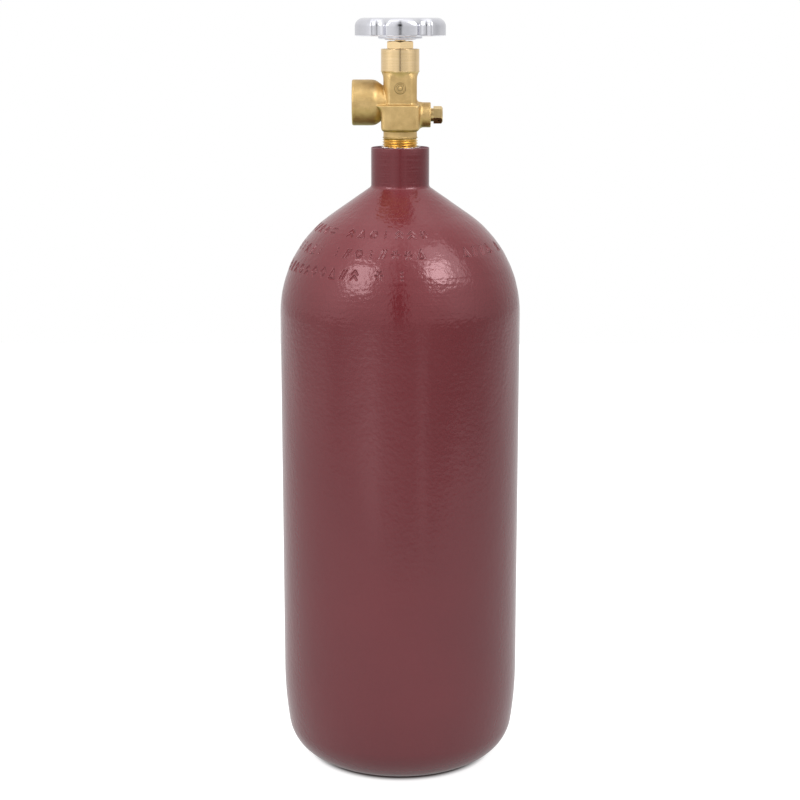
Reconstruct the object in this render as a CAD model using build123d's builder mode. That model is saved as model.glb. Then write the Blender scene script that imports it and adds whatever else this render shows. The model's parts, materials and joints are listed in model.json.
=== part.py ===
from build123d import *
import os
from math import acos, asin, cos, degrees, radians, sin, sqrt, tan

# A small high-pressure gas cylinder with its handwheel valve. Millimetres, +Z up, origin at the
# centre of the foot. The valve outlet points to -X and the safety plug to +X.

# ------------------------------------------------------------------ cylinder
WALL_R = 88.9  # 7 in outside diameter
WALL_THICKNESS = 4.6
KNUCKLE_R = 30.8  # rounding from the foot into the side
BLEND_R = 292.0  # long soft curve from that rounding into the straight wall
BLEND_ANGLE = 8.6
BASE_THICKNESS = 7.0
DISH_R = 51.0  # edge of the hollow under the foot
DISH_DEPTH = 12.0
SHOULDER_Z = 342.0  # the dome starts here
DOME_ANGLE = 55.0  # the dome runs up to this angle, then on as a cone
NECK_R = 21.3
NECK_BLEND_R = 3.0
NECK_TOP = 464.1
NECK_BEVEL = 0.4
THROAT_R = 12.0  # plain bore under the neck thread
THROAT_BOTTOM = 427.0

# ------------------------------------------------------------------ inlet thread
STEM_TOP = 470.9
STEM_BOTTOM = 444.0
STEM_TOP_R = 13.0  # 3/4-14 NGT
TAPER = 1 / 32  # radius lost for each millimetre down
TAPE_THICKNESS = 0.25
TAPE_GAP = 0.02
TAPE_STANDS = 0.6  # how far the tape stands out of the neck

# ------------------------------------------------------------------ valve body
BODY_NECK_R = 12.25
LIP = 0.6  # small lip over the inlet thread
LIP_HEIGHT = 0.5
BLOCK_BOTTOM = 476.0
BLOCK_TOP = 495.1
BLOCK_HALF_X = 13.8
BLOCK_HALF_Y = 16.0
BLOCK_CORNER_R = 3.0
BLOCK_BOTTOM_R = 2.2  # rounding of the block's lower edges
BLOCK_TOP_R = 0.8
COLUMN_HALF = 12.15
COLUMN_CHAMFER = 3.5
COLUMN_EDGE_R = 0.9
COLLAR_R = 13.95
COLLAR_BOTTOM = 518.2
COLLAR_TOP = 535.0
OUTLET_Z = 496.5
OUTLET_END = -35.0
OUTLET_OUTER_R = 16.5
OUTLET_CONE_X = -18.2  # the boss narrows from here towards the column
OUTLET_CONE_ANGLE = 36.0
OUTLET_BORE_R = 12.25  # .965-14 internal thread
OUTLET_BORE_LENGTH = 16.0
OUTLET_CORNER_R = 2.5
BOSS_ROOT_X = -4.0  # the boss ends inside the column
NIPPLE_SEAT_R = 8.5  # conical seat for the regulator's nipple
NIPPLE_SEAT_END_R = 4.5
NIPPLE_SEAT_DEPTH = 5.0
PASSAGE_R = 3.5
SAFETY_Z = 487.6
SAFETY_END = 22.2
SAFETY_BOSS_R = 9.05
SAFETY_HOLE_R = 4.9
SAFETY_HOLE_X = 14.5
SAFETY_PASSAGE_R = 2.0
SAFETY_ROOT_X = 6.0  # the boss starts inside the block
EDGE = 0.7  # small chamfers and drops on the brass
FINE_EDGE = 0.4  # finer chamfers on turned faces
THREAD_EDGE = 0.6  # chamfers at the mouths and ends of threads
OVERCUT = 1.0  # a cutting profile runs this far past the face it opens
JOIN = 2.0  # volumes of one piece run this far into each other
EMBLEM_Z = 507.0
EMBLEM_R = 3.9
EMBLEM_INNER_R = 3.2
EMBLEM_DIAMOND = 2.4
EMBLEM_HEIGHT = 0.3

# ------------------------------------------------------------------ inside the valve
SEAT_Z = 491.5
SEAT_BORE_R = 3.0
SEAT_BORE_BOTTOM = 482.0
SEAT_RIM = 0.9  # width and height of the raised seat
CHAMBER_R = 7.8
CHAMBER_TOP = 499.0
PLUG_BORE_R = 7.05
SPINDLE_FLOOR = 515.0  # the spindle's flange works above this shoulder
SPINDLE_BORE_R = 8.6
GLAND_FLOOR = 526.0
GLAND_BORE_R = 10.4
RUNNING_GAP = 0.06
FACE_GAP = 0.05
HAIR_GAP = 0.02  # between pieces clamped together
WASHER_THICKNESS = 1.0
STEM_R = 4.0
FLANGE_R = 8.3
FLANGE_THICKNESS = 2.9
PLUG_BOTTOM = 497.0
PLUG_TOP = 508.0
SLOT_DEPTH = 8.0
SLOT_WIDTH = 3.2
SEAT_TRAVEL = 3.75  # 2.5 turns of a 1.5 mm pitch
TANG_WIDTH = 8.6
SPINDLE_SHOULDER_R = 4.4
GLAND_NOSE = 520.1  # the gland's sleeve reaches down to here
GASKET_THICKNESS = 0.6
TANG_GAP = 0.3  # side play of the tang in its slot
TANG_REACH = 0.5  # end play of the tang in its slot

# ------------------------------------------------------------------ gland nut
HEX_ACROSS_FLATS = 18.8
GLAND_RELIEF = 1.0  # the thread stops short of the hexagon by this much
GLAND_RELIEF_DROP = 0.8
HEX_BOTTOM = 535.4
HEX_TOP = 540.5

# ------------------------------------------------------------------ handwheel
WHEEL_R = 33.4
WHEEL_TOP = 557.1
RIM_BOTTOM = 544.1
HUB_BOTTOM = 542.0
STEP_BOTTOM = 541.2
LOBES = 6
LOBE_TURN = 2.0  # the front lobe sits this far round from -Y
CROWN_R = 6.3
SCALLOP_R = 6.0
SCALLOP_CENTRE_R = 35.2
HUB_R = 16.0
STEP_R = 11.5
CORING_OUTER_R = 25.4
CORING_INNER_R = 18.5
CORING_DEPTH = 7.0
RIB_WIDTH = 3.2
RECESS_R = 10.0
RECESS_DRAFT = 0.6
RECESS_FLOOR = 550.0
SQUARE = 5.6
SQUARE_GAP = 0.06
SPINDLE_THREAD_R = 2.4
SPRING_FOOT_R = 8.0
SPRING_TOP_R = 4.5
SPRING_WIDTH = 1.5
SPRING_HEIGHT = 1.58
WHEEL_WASHER_R = 7.0
WHEEL_WASHER_THICKNESS = 0.8

# ------------------------------------------------------------------ safety plug
PLUG_HEX_ACROSS = 11.1
PLUG_HEX_START = 24.3
PLUG_HEX_END = 30.9
PLUG_HEX_TURN = 17.0
PLUG_HEX_CROWN = 1.0  # length of the chamfered end
VENT_X = 28.2
VENT_R = 0.9
VENT_ANGLE = 227.0
GAS_WAY_R = 2.2
DISC_THICKNESS = 0.28
SAFETY_GASKET_THICKNESS = 0.5
SAFETY_FIT = 0.3  # side room of the disc and gasket

os.makedirs("parts", exist_ok=True)


def stem_radius(height):
    """Radius of the tapered inlet thread at a height."""
    return STEM_TOP_R - (STEM_TOP - height) * TAPER


def flat_ring(inner_radius, outer_radius, bottom, top):
    """A flat ring round the Z axis, as a finished piece."""
    with BuildPart() as ring:
        with BuildSketch(Plane.XY.offset(bottom)):
            Circle(outer_radius)
            Circle(inner_radius, mode=Mode.SUBTRACT)
        extrude(amount=top - bottom)
    return ring


# ================================================================== cylinder shell
blend_turn = radians(BLEND_ANGLE)
dome_turn = radians(DOME_ANGLE)
knuckle_x = WALL_R - BLEND_R + (BLEND_R - KNUCKLE_R) * cos(blend_turn)
wall_bottom = KNUCKLE_R + (BLEND_R - KNUCKLE_R) * sin(blend_turn)
neck_blend_x = NECK_R + NECK_BLEND_R
neck_blend_z = SHOULDER_Z + (WALL_R + NECK_BLEND_R - neck_blend_x * cos(dome_turn)) / sin(dome_turn)
cone_end = (
    neck_blend_x - NECK_BLEND_R * cos(dome_turn),
    neck_blend_z - NECK_BLEND_R * sin(dome_turn),
)
inner_r = WALL_R - WALL_THICKNESS
inner_knuckle_r = KNUCKLE_R - BASE_THICKNESS
inner_dome_angle = 50.0
inner_dome_end = (
    inner_r * cos(radians(inner_dome_angle)),
    SHOULDER_Z + inner_r * sin(radians(inner_dome_angle)),
)
inner_knuckle_end = (
    knuckle_x + inner_knuckle_r * cos(blend_turn),
    KNUCKLE_R - inner_knuckle_r * sin(blend_turn),
)
inner_blend_corner = (
    inner_r,
    inner_knuckle_end[1] + (inner_r - inner_knuckle_end[0]) / tan(blend_turn),
)
shoulder_reach = 30.0  # how far the dome's inside runs on straight before it bends to the throat
inner_shoulder_corner = (
    inner_dome_end[0] - shoulder_reach * sin(radians(inner_dome_angle)),
    inner_dome_end[1] + shoulder_reach * cos(radians(inner_dome_angle)),
)
# the hollow under the foot is part of a sphere, and the inside of the base follows it
dish_sphere_r = (DISH_R**2 + DISH_DEPTH**2) / (2 * DISH_DEPTH)
dish_centre_z = DISH_DEPTH - dish_sphere_r
dish_angle = degrees(asin(DISH_R / dish_sphere_r))
inner_sphere_r = dish_sphere_r + BASE_THICKNESS
inner_dish_angle = degrees(acos((BASE_THICKNESS - dish_centre_z) / inner_sphere_r))
inner_dish_edge = inner_sphere_r * sin(radians(inner_dish_angle))
thread_gap = TAPE_THICKNESS + 4 * TAPE_GAP
bore_bottom = STEM_BOTTOM - 2  # the tapered bore ends in a ledge just under the stem

with BuildPart() as cylinder_shell:
    with BuildSketch(Plane.XZ):
        with BuildLine():
            # outside, from the hollow under the foot up to the neck
            CenterArc((0, dish_centre_z), dish_sphere_r, 90 - dish_angle, dish_angle)
            Line((DISH_R, 0), (knuckle_x, 0))
            CenterArc((knuckle_x, KNUCKLE_R), KNUCKLE_R, -90, 90 - BLEND_ANGLE)
            Bezier(
                (
                    knuckle_x + KNUCKLE_R * cos(blend_turn),
                    KNUCKLE_R - KNUCKLE_R * sin(blend_turn),
                ),
                (WALL_R, wall_bottom - BLEND_R * tan(blend_turn / 2)),
                (WALL_R, wall_bottom),
            )
            Line((WALL_R, wall_bottom), (WALL_R, SHOULDER_Z))
            CenterArc((0, SHOULDER_Z), WALL_R, 0, DOME_ANGLE)
            Line((WALL_R * cos(dome_turn), SHOULDER_Z + WALL_R * sin(dome_turn)), cone_end)
            CenterArc((neck_blend_x, neck_blend_z), NECK_BLEND_R, 180 + DOME_ANGLE, -DOME_ANGLE)
            # neck, its threaded bore and the throat
            Polyline(
                (NECK_R, neck_blend_z),
                (NECK_R, NECK_TOP - NECK_BEVEL),
                (NECK_R - NECK_BEVEL, NECK_TOP),
                (stem_radius(NECK_TOP) + thread_gap + EDGE, NECK_TOP),
                (stem_radius(NECK_TOP - EDGE) + thread_gap, NECK_TOP - EDGE),
                (stem_radius(bore_bottom) + thread_gap, bore_bottom),
                (THROAT_R, bore_bottom),
                (THROAT_R, THROAT_BOTTOM),
            )
            # inside, down to the base
            Bezier((THROAT_R, THROAT_BOTTOM), inner_shoulder_corner, inner_dome_end)
            CenterArc((0, SHOULDER_Z), inner_r, 0, inner_dome_angle)
            Line((inner_r, SHOULDER_Z), (inner_r, wall_bottom))
            Bezier((inner_r, wall_bottom), inner_blend_corner, inner_knuckle_end)
            CenterArc((knuckle_x, KNUCKLE_R), inner_knuckle_r, -90, 90 - BLEND_ANGLE)
            Line((knuckle_x, BASE_THICKNESS), (inner_dish_edge, BASE_THICKNESS))
            CenterArc((0, dish_centre_z), inner_sphere_r, 90 - inner_dish_angle, inner_dish_angle)
            Line((0, BASE_THICKNESS + DISH_DEPTH), (0, DISH_DEPTH))
        make_face()
    revolve(axis=Axis.Z)

cylinder_shell.part.label = "cylinder_shell"
export_step(cylinder_shell.part, "parts/cylinder_shell.step")

# ================================================================== sealing tape on the thread
tape_bottom = STEM_BOTTOM + 2
tape_top = NECK_TOP + TAPE_STANDS

with BuildPart() as thread_seal_tape:
    with BuildSketch(Plane.XZ):
        with BuildLine():
            Polyline(
                (stem_radius(tape_bottom) + TAPE_GAP, tape_bottom),
                (stem_radius(tape_bottom) + TAPE_GAP + TAPE_THICKNESS, tape_bottom),
                (stem_radius(tape_top) + TAPE_GAP + TAPE_THICKNESS, tape_top),
                (stem_radius(tape_top) + TAPE_GAP, tape_top),
                close=True,
            )
        make_face()
    revolve(axis=Axis.Z)

thread_seal_tape.part.label = "thread_seal_tape"
export_step(thread_seal_tape.part, "parts/thread_seal_tape.step")

# ================================================================== valve body
outlet_axis = Axis((0, 0, OUTLET_Z), (1, 0, 0))
safety_axis = Axis((0, 0, SAFETY_Z), (1, 0, 0))


def cone_radius(x):
    """Outer radius of the outlet boss where it narrows towards the column."""
    return OUTLET_OUTER_R - (x - OUTLET_CONE_X) * tan(radians(OUTLET_CONE_ANGLE))


# Tapered inlet thread, a small lip and the round neck under the block
with BuildPart() as inlet_stem:
    with BuildSketch(Plane.XZ):
        with BuildLine():
            Polyline(
                (0, STEM_BOTTOM),
                (stem_radius(STEM_BOTTOM) - 1, STEM_BOTTOM),
                (stem_radius(STEM_BOTTOM + 1), STEM_BOTTOM + 1),
                (STEM_TOP_R, STEM_TOP),
                (BODY_NECK_R + LIP, STEM_TOP),
                (BODY_NECK_R + LIP, STEM_TOP + LIP_HEIGHT),
                (BODY_NECK_R, STEM_TOP + LIP_HEIGHT + FINE_EDGE),
                (BODY_NECK_R, BLOCK_BOTTOM + JOIN),
                (0, BLOCK_BOTTOM + JOIN),
                close=True,
            )
        make_face()
    revolve(axis=Axis.Z)

# Block that a spanner holds, with soft forged edges
with BuildPart() as lower_block:
    with BuildSketch(Plane.XY.offset(BLOCK_BOTTOM)):
        RectangleRounded(2 * BLOCK_HALF_X, 2 * BLOCK_HALF_Y, BLOCK_CORNER_R)
    extrude(amount=BLOCK_TOP - BLOCK_BOTTOM)
    fillet(lower_block.faces().sort_by(Axis.Z)[0].edges(), BLOCK_BOTTOM_R)
    fillet(lower_block.faces().sort_by(Axis.Z)[-1].edges(), BLOCK_TOP_R)

# Web that carries the block's top edge out onto the outlet boss
web_tip_x = OUTLET_CONE_X - 0.3
web_height = 8.0
web_bottom = BLOCK_TOP - web_height
web_inset = 0.2
web_top = BLOCK_TOP - web_inset
web_root_x = -BLOCK_HALF_X + 4
with BuildPart() as boss_web:
    with BuildSketch(Plane.XZ):
        with BuildLine():
            Polyline(
                (-BLOCK_HALF_X, web_bottom),
                (web_root_x, web_bottom),
                (web_root_x, web_top),
                (web_tip_x, web_top),
            )
            TangentArc((-BLOCK_HALF_X, web_bottom), (web_tip_x, web_top), tangent=(0, 1))
        make_face()
    extrude(amount=BLOCK_HALF_Y - web_inset, both=True)

# Square column with cut corners, drawn in towards the collar above it
column_bottom = BLOCK_TOP - JOIN
column_top = COLLAR_BOTTOM + JOIN
column_corner_r = COLLAR_R + 1.1
draw_in_r = COLLAR_R - 0.5
draw_in_z = COLLAR_BOTTOM - 8
with BuildPart() as upper_column:
    with BuildSketch(Plane.XY.offset(column_bottom)):
        column_outline = Rectangle(2 * COLUMN_HALF, 2 * COLUMN_HALF)
        chamfer(column_outline.vertices(), COLUMN_CHAMFER)
    extrude(amount=column_top - column_bottom)
    fillet(upper_column.edges().filter_by(Axis.Z), COLUMN_EDGE_R)
    with BuildSketch(Plane.XZ):
        with BuildLine():
            Polyline(
                (0, column_top),
                (0, column_bottom),
                (column_corner_r, column_bottom),
                (column_corner_r, draw_in_z),
                (draw_in_r, COLLAR_BOTTOM),
                (draw_in_r, column_top),
                close=True,
            )
        make_face()
    revolve(axis=Axis.Z, mode=Mode.INTERSECT)

# Thin curved foot where the column meets the ledge
foot_height = 1.3
with BuildPart() as column_foot:
    with BuildSketch(Plane.XY.offset(BLOCK_TOP - 0.3)):
        foot_outline = Rectangle(2 * (COLUMN_HALF + foot_height), 2 * (COLUMN_HALF + foot_height))
        chamfer(foot_outline.vertices(), COLUMN_CHAMFER + 0.6)
    with BuildSketch(Plane.XY.offset(BLOCK_TOP + foot_height)):
        foot_top = Rectangle(2 * COLUMN_HALF, 2 * COLUMN_HALF)
        chamfer(foot_top.vertices(), COLUMN_CHAMFER)
    loft()

# Turned collar with a hollow flare under it
flare_r = COLUMN_HALF - 0.15
flare_bottom = COLLAR_BOTTOM - 9
flare_start = COLLAR_BOTTOM - 6.5
with BuildPart() as collar:
    with BuildSketch(Plane.XZ):
        with BuildLine():
            Polyline((0, flare_bottom), (flare_r, flare_bottom), (flare_r, flare_start))
            TangentArc(
                (flare_r, flare_start),
                (COLLAR_R - FINE_EDGE, COLLAR_BOTTOM),
                tangent=(0, 1),
            )
            Polyline(
                (COLLAR_R - FINE_EDGE, COLLAR_BOTTOM),
                (COLLAR_R, COLLAR_BOTTOM + FINE_EDGE),
                (COLLAR_R, COLLAR_TOP - FINE_EDGE),
                (COLLAR_R - FINE_EDGE, COLLAR_TOP),
                (0, COLLAR_TOP),
                (0, flare_bottom),
            )
        make_face()
    revolve(axis=Axis.Z)

# Outlet boss: a cylinder that narrows as a cone into the column
with BuildPart() as outlet_boss:
    with BuildSketch(Plane.XZ):
        with BuildLine():
            Polyline(
                (OUTLET_END, OUTLET_Z),
                (OUTLET_END, OUTLET_Z + OUTLET_OUTER_R - EDGE),
                (OUTLET_END + EDGE, OUTLET_Z + OUTLET_OUTER_R),
                (OUTLET_CONE_X, OUTLET_Z + OUTLET_OUTER_R),
                (BOSS_ROOT_X, OUTLET_Z + cone_radius(BOSS_ROOT_X)),
                (BOSS_ROOT_X, OUTLET_Z),
                close=True,
            )
        boss_face = make_face()
        cone_corner = boss_face.vertices().group_by(Axis.Z)[-1].sort_by(Axis.X)[-1]
        fillet(cone_corner, OUTLET_CORNER_R)
    revolve(axis=outlet_axis)

# Safety boss with a hollow curve at its root
root_curve = 3.5
root_x = 15.7
root_r = 11.4
root_start = root_x - sqrt(root_curve**2 - (SAFETY_BOSS_R + root_curve - root_r) ** 2)
with BuildPart() as safety_boss:
    with BuildSketch(Plane.XZ):
        with BuildLine():
            Polyline(
                (root_x, SAFETY_Z + SAFETY_BOSS_R),
                (SAFETY_END - FINE_EDGE, SAFETY_Z + SAFETY_BOSS_R),
                (SAFETY_END, SAFETY_Z + SAFETY_BOSS_R - FINE_EDGE),
                (SAFETY_END, SAFETY_Z),
                (SAFETY_ROOT_X, SAFETY_Z),
                (SAFETY_ROOT_X, SAFETY_Z + root_r),
                (root_start, SAFETY_Z + root_r),
            )
            TangentArc(
                (root_x, SAFETY_Z + SAFETY_BOSS_R),
                (root_start, SAFETY_Z + root_r),
                tangent=(-1, 0),
            )
        make_face()
    revolve(axis=safety_axis)

# Plain raised mark on the front of the column: a ring round a small diamond
with BuildPart() as emblem:
    with BuildSketch(Plane.XZ.offset(COLUMN_HALF - EMBLEM_HEIGHT)):
        with Locations((0, EMBLEM_Z)):
            Circle(EMBLEM_R)
            Circle(EMBLEM_INNER_R, mode=Mode.SUBTRACT)
            Rectangle(EMBLEM_DIAMOND, EMBLEM_DIAMOND, rotation=45)
    extrude(amount=2 * EMBLEM_HEIGHT)

with BuildPart() as valve_body:
    add(inlet_stem.part)
    add(lower_block.part)
    add(upper_column.part)
    add(column_foot.part)
    add(collar.part)
    add(outlet_boss.part)
    add(boss_web.part)
    add(safety_boss.part)
    add(emblem.part)
    # Inlet bore, raised seat, plug thread, spindle chamber and gland thread
    with BuildSketch(Plane.XZ):
        with BuildLine():
            Polyline(
                (0, STEM_BOTTOM - OVERCUT),
                (STEM_R, STEM_BOTTOM - OVERCUT),
                (STEM_R, SEAT_BORE_BOTTOM - (STEM_R - SEAT_BORE_R)),
                (SEAT_BORE_R, SEAT_BORE_BOTTOM),
                (SEAT_BORE_R, SEAT_Z),
                (SEAT_BORE_R + SEAT_RIM, SEAT_Z),
                (SEAT_BORE_R + SEAT_RIM, SEAT_Z - SEAT_RIM),
                (CHAMBER_R, SEAT_Z - SEAT_RIM),
                (CHAMBER_R, CHAMBER_TOP),
                (PLUG_BORE_R, CHAMBER_TOP),
                (PLUG_BORE_R, SPINDLE_FLOOR),
                (SPINDLE_BORE_R, SPINDLE_FLOOR),
                (SPINDLE_BORE_R, GLAND_FLOOR),
                (GLAND_BORE_R, GLAND_FLOOR),
                (GLAND_BORE_R, COLLAR_TOP + OVERCUT),
                (0, COLLAR_TOP + OVERCUT),
                close=True,
            )
        make_face()
    revolve(axis=Axis.Z, mode=Mode.SUBTRACT)
    # Outlet thread, conical seat for the regulator's nipple and the passage to the chamber
    bore_end = OUTLET_END + OUTLET_BORE_LENGTH
    seat_end = bore_end + NIPPLE_SEAT_DEPTH
    with BuildSketch(Plane.XZ):
        with BuildLine():
            Polyline(
                (OUTLET_END - OVERCUT, OUTLET_Z),
                (OUTLET_END - OVERCUT, OUTLET_Z + OUTLET_BORE_R + THREAD_EDGE),
                (OUTLET_END, OUTLET_Z + OUTLET_BORE_R + THREAD_EDGE),
                (OUTLET_END + THREAD_EDGE, OUTLET_Z + OUTLET_BORE_R),
                (bore_end, OUTLET_Z + OUTLET_BORE_R),
                (bore_end, OUTLET_Z + NIPPLE_SEAT_R),
                (seat_end, OUTLET_Z + NIPPLE_SEAT_END_R),
                (seat_end, OUTLET_Z + PASSAGE_R),
                (OVERCUT - CHAMBER_R, OUTLET_Z + PASSAGE_R),
                (OVERCUT - CHAMBER_R, OUTLET_Z),
                close=True,
            )
        make_face()
    revolve(axis=outlet_axis, mode=Mode.SUBTRACT)
    # Passage to the safety plug and its threaded hole
    with BuildSketch(Plane.XZ):
        with BuildLine():
            Polyline(
                (SEAT_BORE_R - OVERCUT, SAFETY_Z),
                (SEAT_BORE_R - OVERCUT, SAFETY_Z + SAFETY_PASSAGE_R),
                (SAFETY_HOLE_X, SAFETY_Z + SAFETY_PASSAGE_R),
                (SAFETY_HOLE_X, SAFETY_Z + SAFETY_HOLE_R),
                (SAFETY_END + OVERCUT, SAFETY_Z + SAFETY_HOLE_R),
                (SAFETY_END + OVERCUT, SAFETY_Z),
                close=True,
            )
        make_face()
    revolve(axis=safety_axis, mode=Mode.SUBTRACT)

valve_body.part.label = "valve_body"
export_step(valve_body.part, "parts/valve_body.step")

# ================================================================== gland nut and its gasket
hex_corner_r = HEX_ACROSS_FLATS / 2 / cos(radians(30))
chamfer_drop = (hex_corner_r - HEX_ACROSS_FLATS / 2 + FINE_EDGE) * tan(radians(30))
gasket_top = GLAND_FLOOR + GASKET_THICKNESS
hex_join = 0.5

with BuildPart() as gland_nut:
    with BuildSketch(Plane.XY.offset(HEX_BOTTOM)):
        RegularPolygon(HEX_ACROSS_FLATS / 2, 6, major_radius=False, rotation=30)
    extrude(amount=HEX_TOP - HEX_BOTTOM)
    with BuildSketch(Plane.XZ):
        with BuildLine():
            Polyline(
                (0, HEX_BOTTOM),
                (hex_corner_r, HEX_BOTTOM),
                (hex_corner_r, HEX_TOP - chamfer_drop),
                (HEX_ACROSS_FLATS / 2 - FINE_EDGE, HEX_TOP),
                (0, HEX_TOP),
                close=True,
            )
        make_face()
    revolve(axis=Axis.Z, mode=Mode.INTERSECT)
    with BuildSketch(Plane.XZ):
        with BuildLine():
            Polyline(
                (0, GLAND_NOSE),
                (SPINDLE_BORE_R - FACE_GAP, GLAND_NOSE),
                (SPINDLE_BORE_R - FACE_GAP, gasket_top),
                (GLAND_BORE_R - FACE_GAP, gasket_top),
                (GLAND_BORE_R - FACE_GAP, COLLAR_TOP - GLAND_RELIEF_DROP),
                (GLAND_BORE_R - GLAND_RELIEF, COLLAR_TOP),
                (GLAND_BORE_R - GLAND_RELIEF, HEX_BOTTOM + hex_join),
                (0, HEX_BOTTOM + hex_join),
                close=True,
            )
        make_face()
    revolve(axis=Axis.Z)
    with BuildSketch(Plane.XY.offset(GLAND_NOSE - 1)):
        Circle(STEM_R + RUNNING_GAP)
    extrude(amount=HEX_TOP + 2 - GLAND_NOSE, mode=Mode.SUBTRACT)

gland_nut.part.label = "gland_nut"
export_step(gland_nut.part, "parts/gland_nut.step")

gland_gasket = flat_ring(SPINDLE_BORE_R + HAIR_GAP, GLAND_BORE_R - HAIR_GAP, GLAND_FLOOR, gasket_top)
gland_gasket.part.label = "gland_gasket"
export_step(gland_gasket.part, "parts/gland_gasket.step")

# ================================================================== upper spindle and what rides on it
flange_bottom = SPINDLE_FLOOR + WASHER_THICKNESS + FACE_GAP
flange_top = flange_bottom + FLANGE_THICKNESS
groove_bottom = 524.0
groove_top = 527.4
groove_r = 2.9
square_bottom = 541.0
square_top = 550.6
spindle_top = 556.8
tang_bottom = PLUG_TOP - SLOT_DEPTH + SEAT_TRAVEL + TANG_REACH
tang_top = PLUG_TOP + SEAT_TRAVEL + TANG_REACH

with BuildPart() as upper_spindle:
    with BuildSketch(Plane.XZ):
        with BuildLine():
            Polyline(
                (0, tang_top),
                (SPINDLE_SHOULDER_R, tang_top),
                (SPINDLE_SHOULDER_R, flange_bottom),
                (FLANGE_R, flange_bottom),
                (FLANGE_R, flange_top),
                (STEM_R, flange_top),
                (STEM_R, groove_bottom),
                (groove_r, groove_bottom),
                (groove_r, groove_top),
                (STEM_R, groove_top),
                (STEM_R, square_bottom),
                (0, square_bottom),
                close=True,
            )
        make_face()
    revolve(axis=Axis.Z)
    with BuildSketch(Plane.XY.offset(tang_bottom)):
        Rectangle(TANG_WIDTH, SLOT_WIDTH - TANG_GAP)
    extrude(amount=tang_top - tang_bottom)
    with BuildSketch(Plane.XY.offset(square_bottom)):
        Rectangle(SQUARE, SQUARE)
        Circle(STEM_R, mode=Mode.INTERSECT)
    extrude(amount=square_top - square_bottom)
    with BuildSketch(Plane.XY.offset(square_top)):
        Circle(SPINDLE_THREAD_R)
    extrude(amount=spindle_top - square_top)
    chamfer(upper_spindle.faces().sort_by(Axis.Z)[-1].edges(), FINE_EDGE)

upper_spindle.part.label = "upper_spindle"
export_step(upper_spindle.part, "parts/upper_spindle.step")

o_ring_r = 0.54
with BuildPart() as spindle_o_ring:
    with BuildSketch(Plane.XZ):
        with Locations((groove_r + 0.01 + o_ring_r, groove_bottom + 0.1 + o_ring_r)):
            Circle(o_ring_r)
    revolve(axis=Axis.Z)

spindle_o_ring.part.label = "spindle_o_ring"
export_step(spindle_o_ring.part, "parts/spindle_o_ring.step")

backup_ring = flat_ring(groove_r + 0.02, STEM_R + 0.01, groove_top - 0.95, groove_top - 0.05)
backup_ring.part.label = "spindle_backup_ring"
export_step(backup_ring.part, "parts/spindle_backup_ring.step")

washer_r = SPINDLE_BORE_R - 0.2
lower_washer = flat_ring(
    SPINDLE_SHOULDER_R + RUNNING_GAP,
    washer_r,
    SPINDLE_FLOOR,
    SPINDLE_FLOOR + WASHER_THICKNESS,
)
lower_washer.part.label = "lower_thrust_washer"
export_step(lower_washer.part, "parts/lower_thrust_washer.step")

upper_washer = flat_ring(
    STEM_R + RUNNING_GAP,
    washer_r,
    flange_top + FACE_GAP,
    flange_top + FACE_GAP + WASHER_THICKNESS,
)
upper_washer.part.label = "upper_thrust_washer"
export_step(upper_washer.part, "parts/upper_thrust_washer.step")

# ================================================================== lower spindle, seat and retainer
stub_r = 5.2
disc_top = SEAT_Z + 3.0
lip_top = SEAT_Z + 1.85
disc_nose_r = 4.2
disc_side_gap = 0.3
plug_edge = 0.5
retainer_r = 6.9
retainer_chamfer = 0.7
retainer_bottom = SEAT_Z + 1.1

with BuildPart() as lower_spindle:
    with BuildSketch(Plane.XY.offset(PLUG_BOTTOM)):
        Circle(PLUG_BORE_R - RUNNING_GAP)
    extrude(amount=PLUG_TOP - PLUG_BOTTOM)
    chamfer(lower_spindle.faces().sort_by(Axis.Z)[-1].edges(), plug_edge)
    with BuildSketch(Plane.XY.offset(PLUG_TOP - SLOT_DEPTH)):
        Rectangle(3 * PLUG_BORE_R, SLOT_WIDTH)
    extrude(amount=SLOT_DEPTH + 1, mode=Mode.SUBTRACT)
    with BuildSketch(Plane.XY.offset(disc_top + FACE_GAP)):
        Circle(stub_r)
    extrude(amount=PLUG_BOTTOM - disc_top - FACE_GAP)

lower_spindle.part.label = "lower_spindle"
export_step(lower_spindle.part, "parts/lower_spindle.step")

with BuildPart() as seat_disc:
    with BuildSketch(Plane.XY.offset(SEAT_Z + HAIR_GAP)):
        Circle(disc_nose_r)
    extrude(amount=lip_top + FACE_GAP - SEAT_Z - HAIR_GAP)
    with BuildSketch(Plane.XY.offset(lip_top + FACE_GAP)):
        Circle(stub_r - disc_side_gap)
    extrude(amount=disc_top - lip_top - FACE_GAP)

seat_disc.part.label = "seat_disc"
export_step(seat_disc.part, "parts/seat_disc.step")

with BuildPart() as seat_retainer:
    with BuildSketch(Plane.XZ):
        with BuildLine():
            Polyline(
                (disc_nose_r + FACE_GAP, retainer_bottom),
                (retainer_r - retainer_chamfer, retainer_bottom),
                (retainer_r, retainer_bottom + retainer_chamfer),
                (retainer_r, PLUG_BOTTOM - FACE_GAP),
                (stub_r + FACE_GAP, PLUG_BOTTOM - FACE_GAP),
                (stub_r + FACE_GAP, lip_top),
                (disc_nose_r + FACE_GAP, lip_top),
                close=True,
            )
        make_face()
    revolve(axis=Axis.Z)

seat_retainer.part.label = "seat_retainer"
export_step(seat_retainer.part, "parts/seat_retainer.step")

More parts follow.
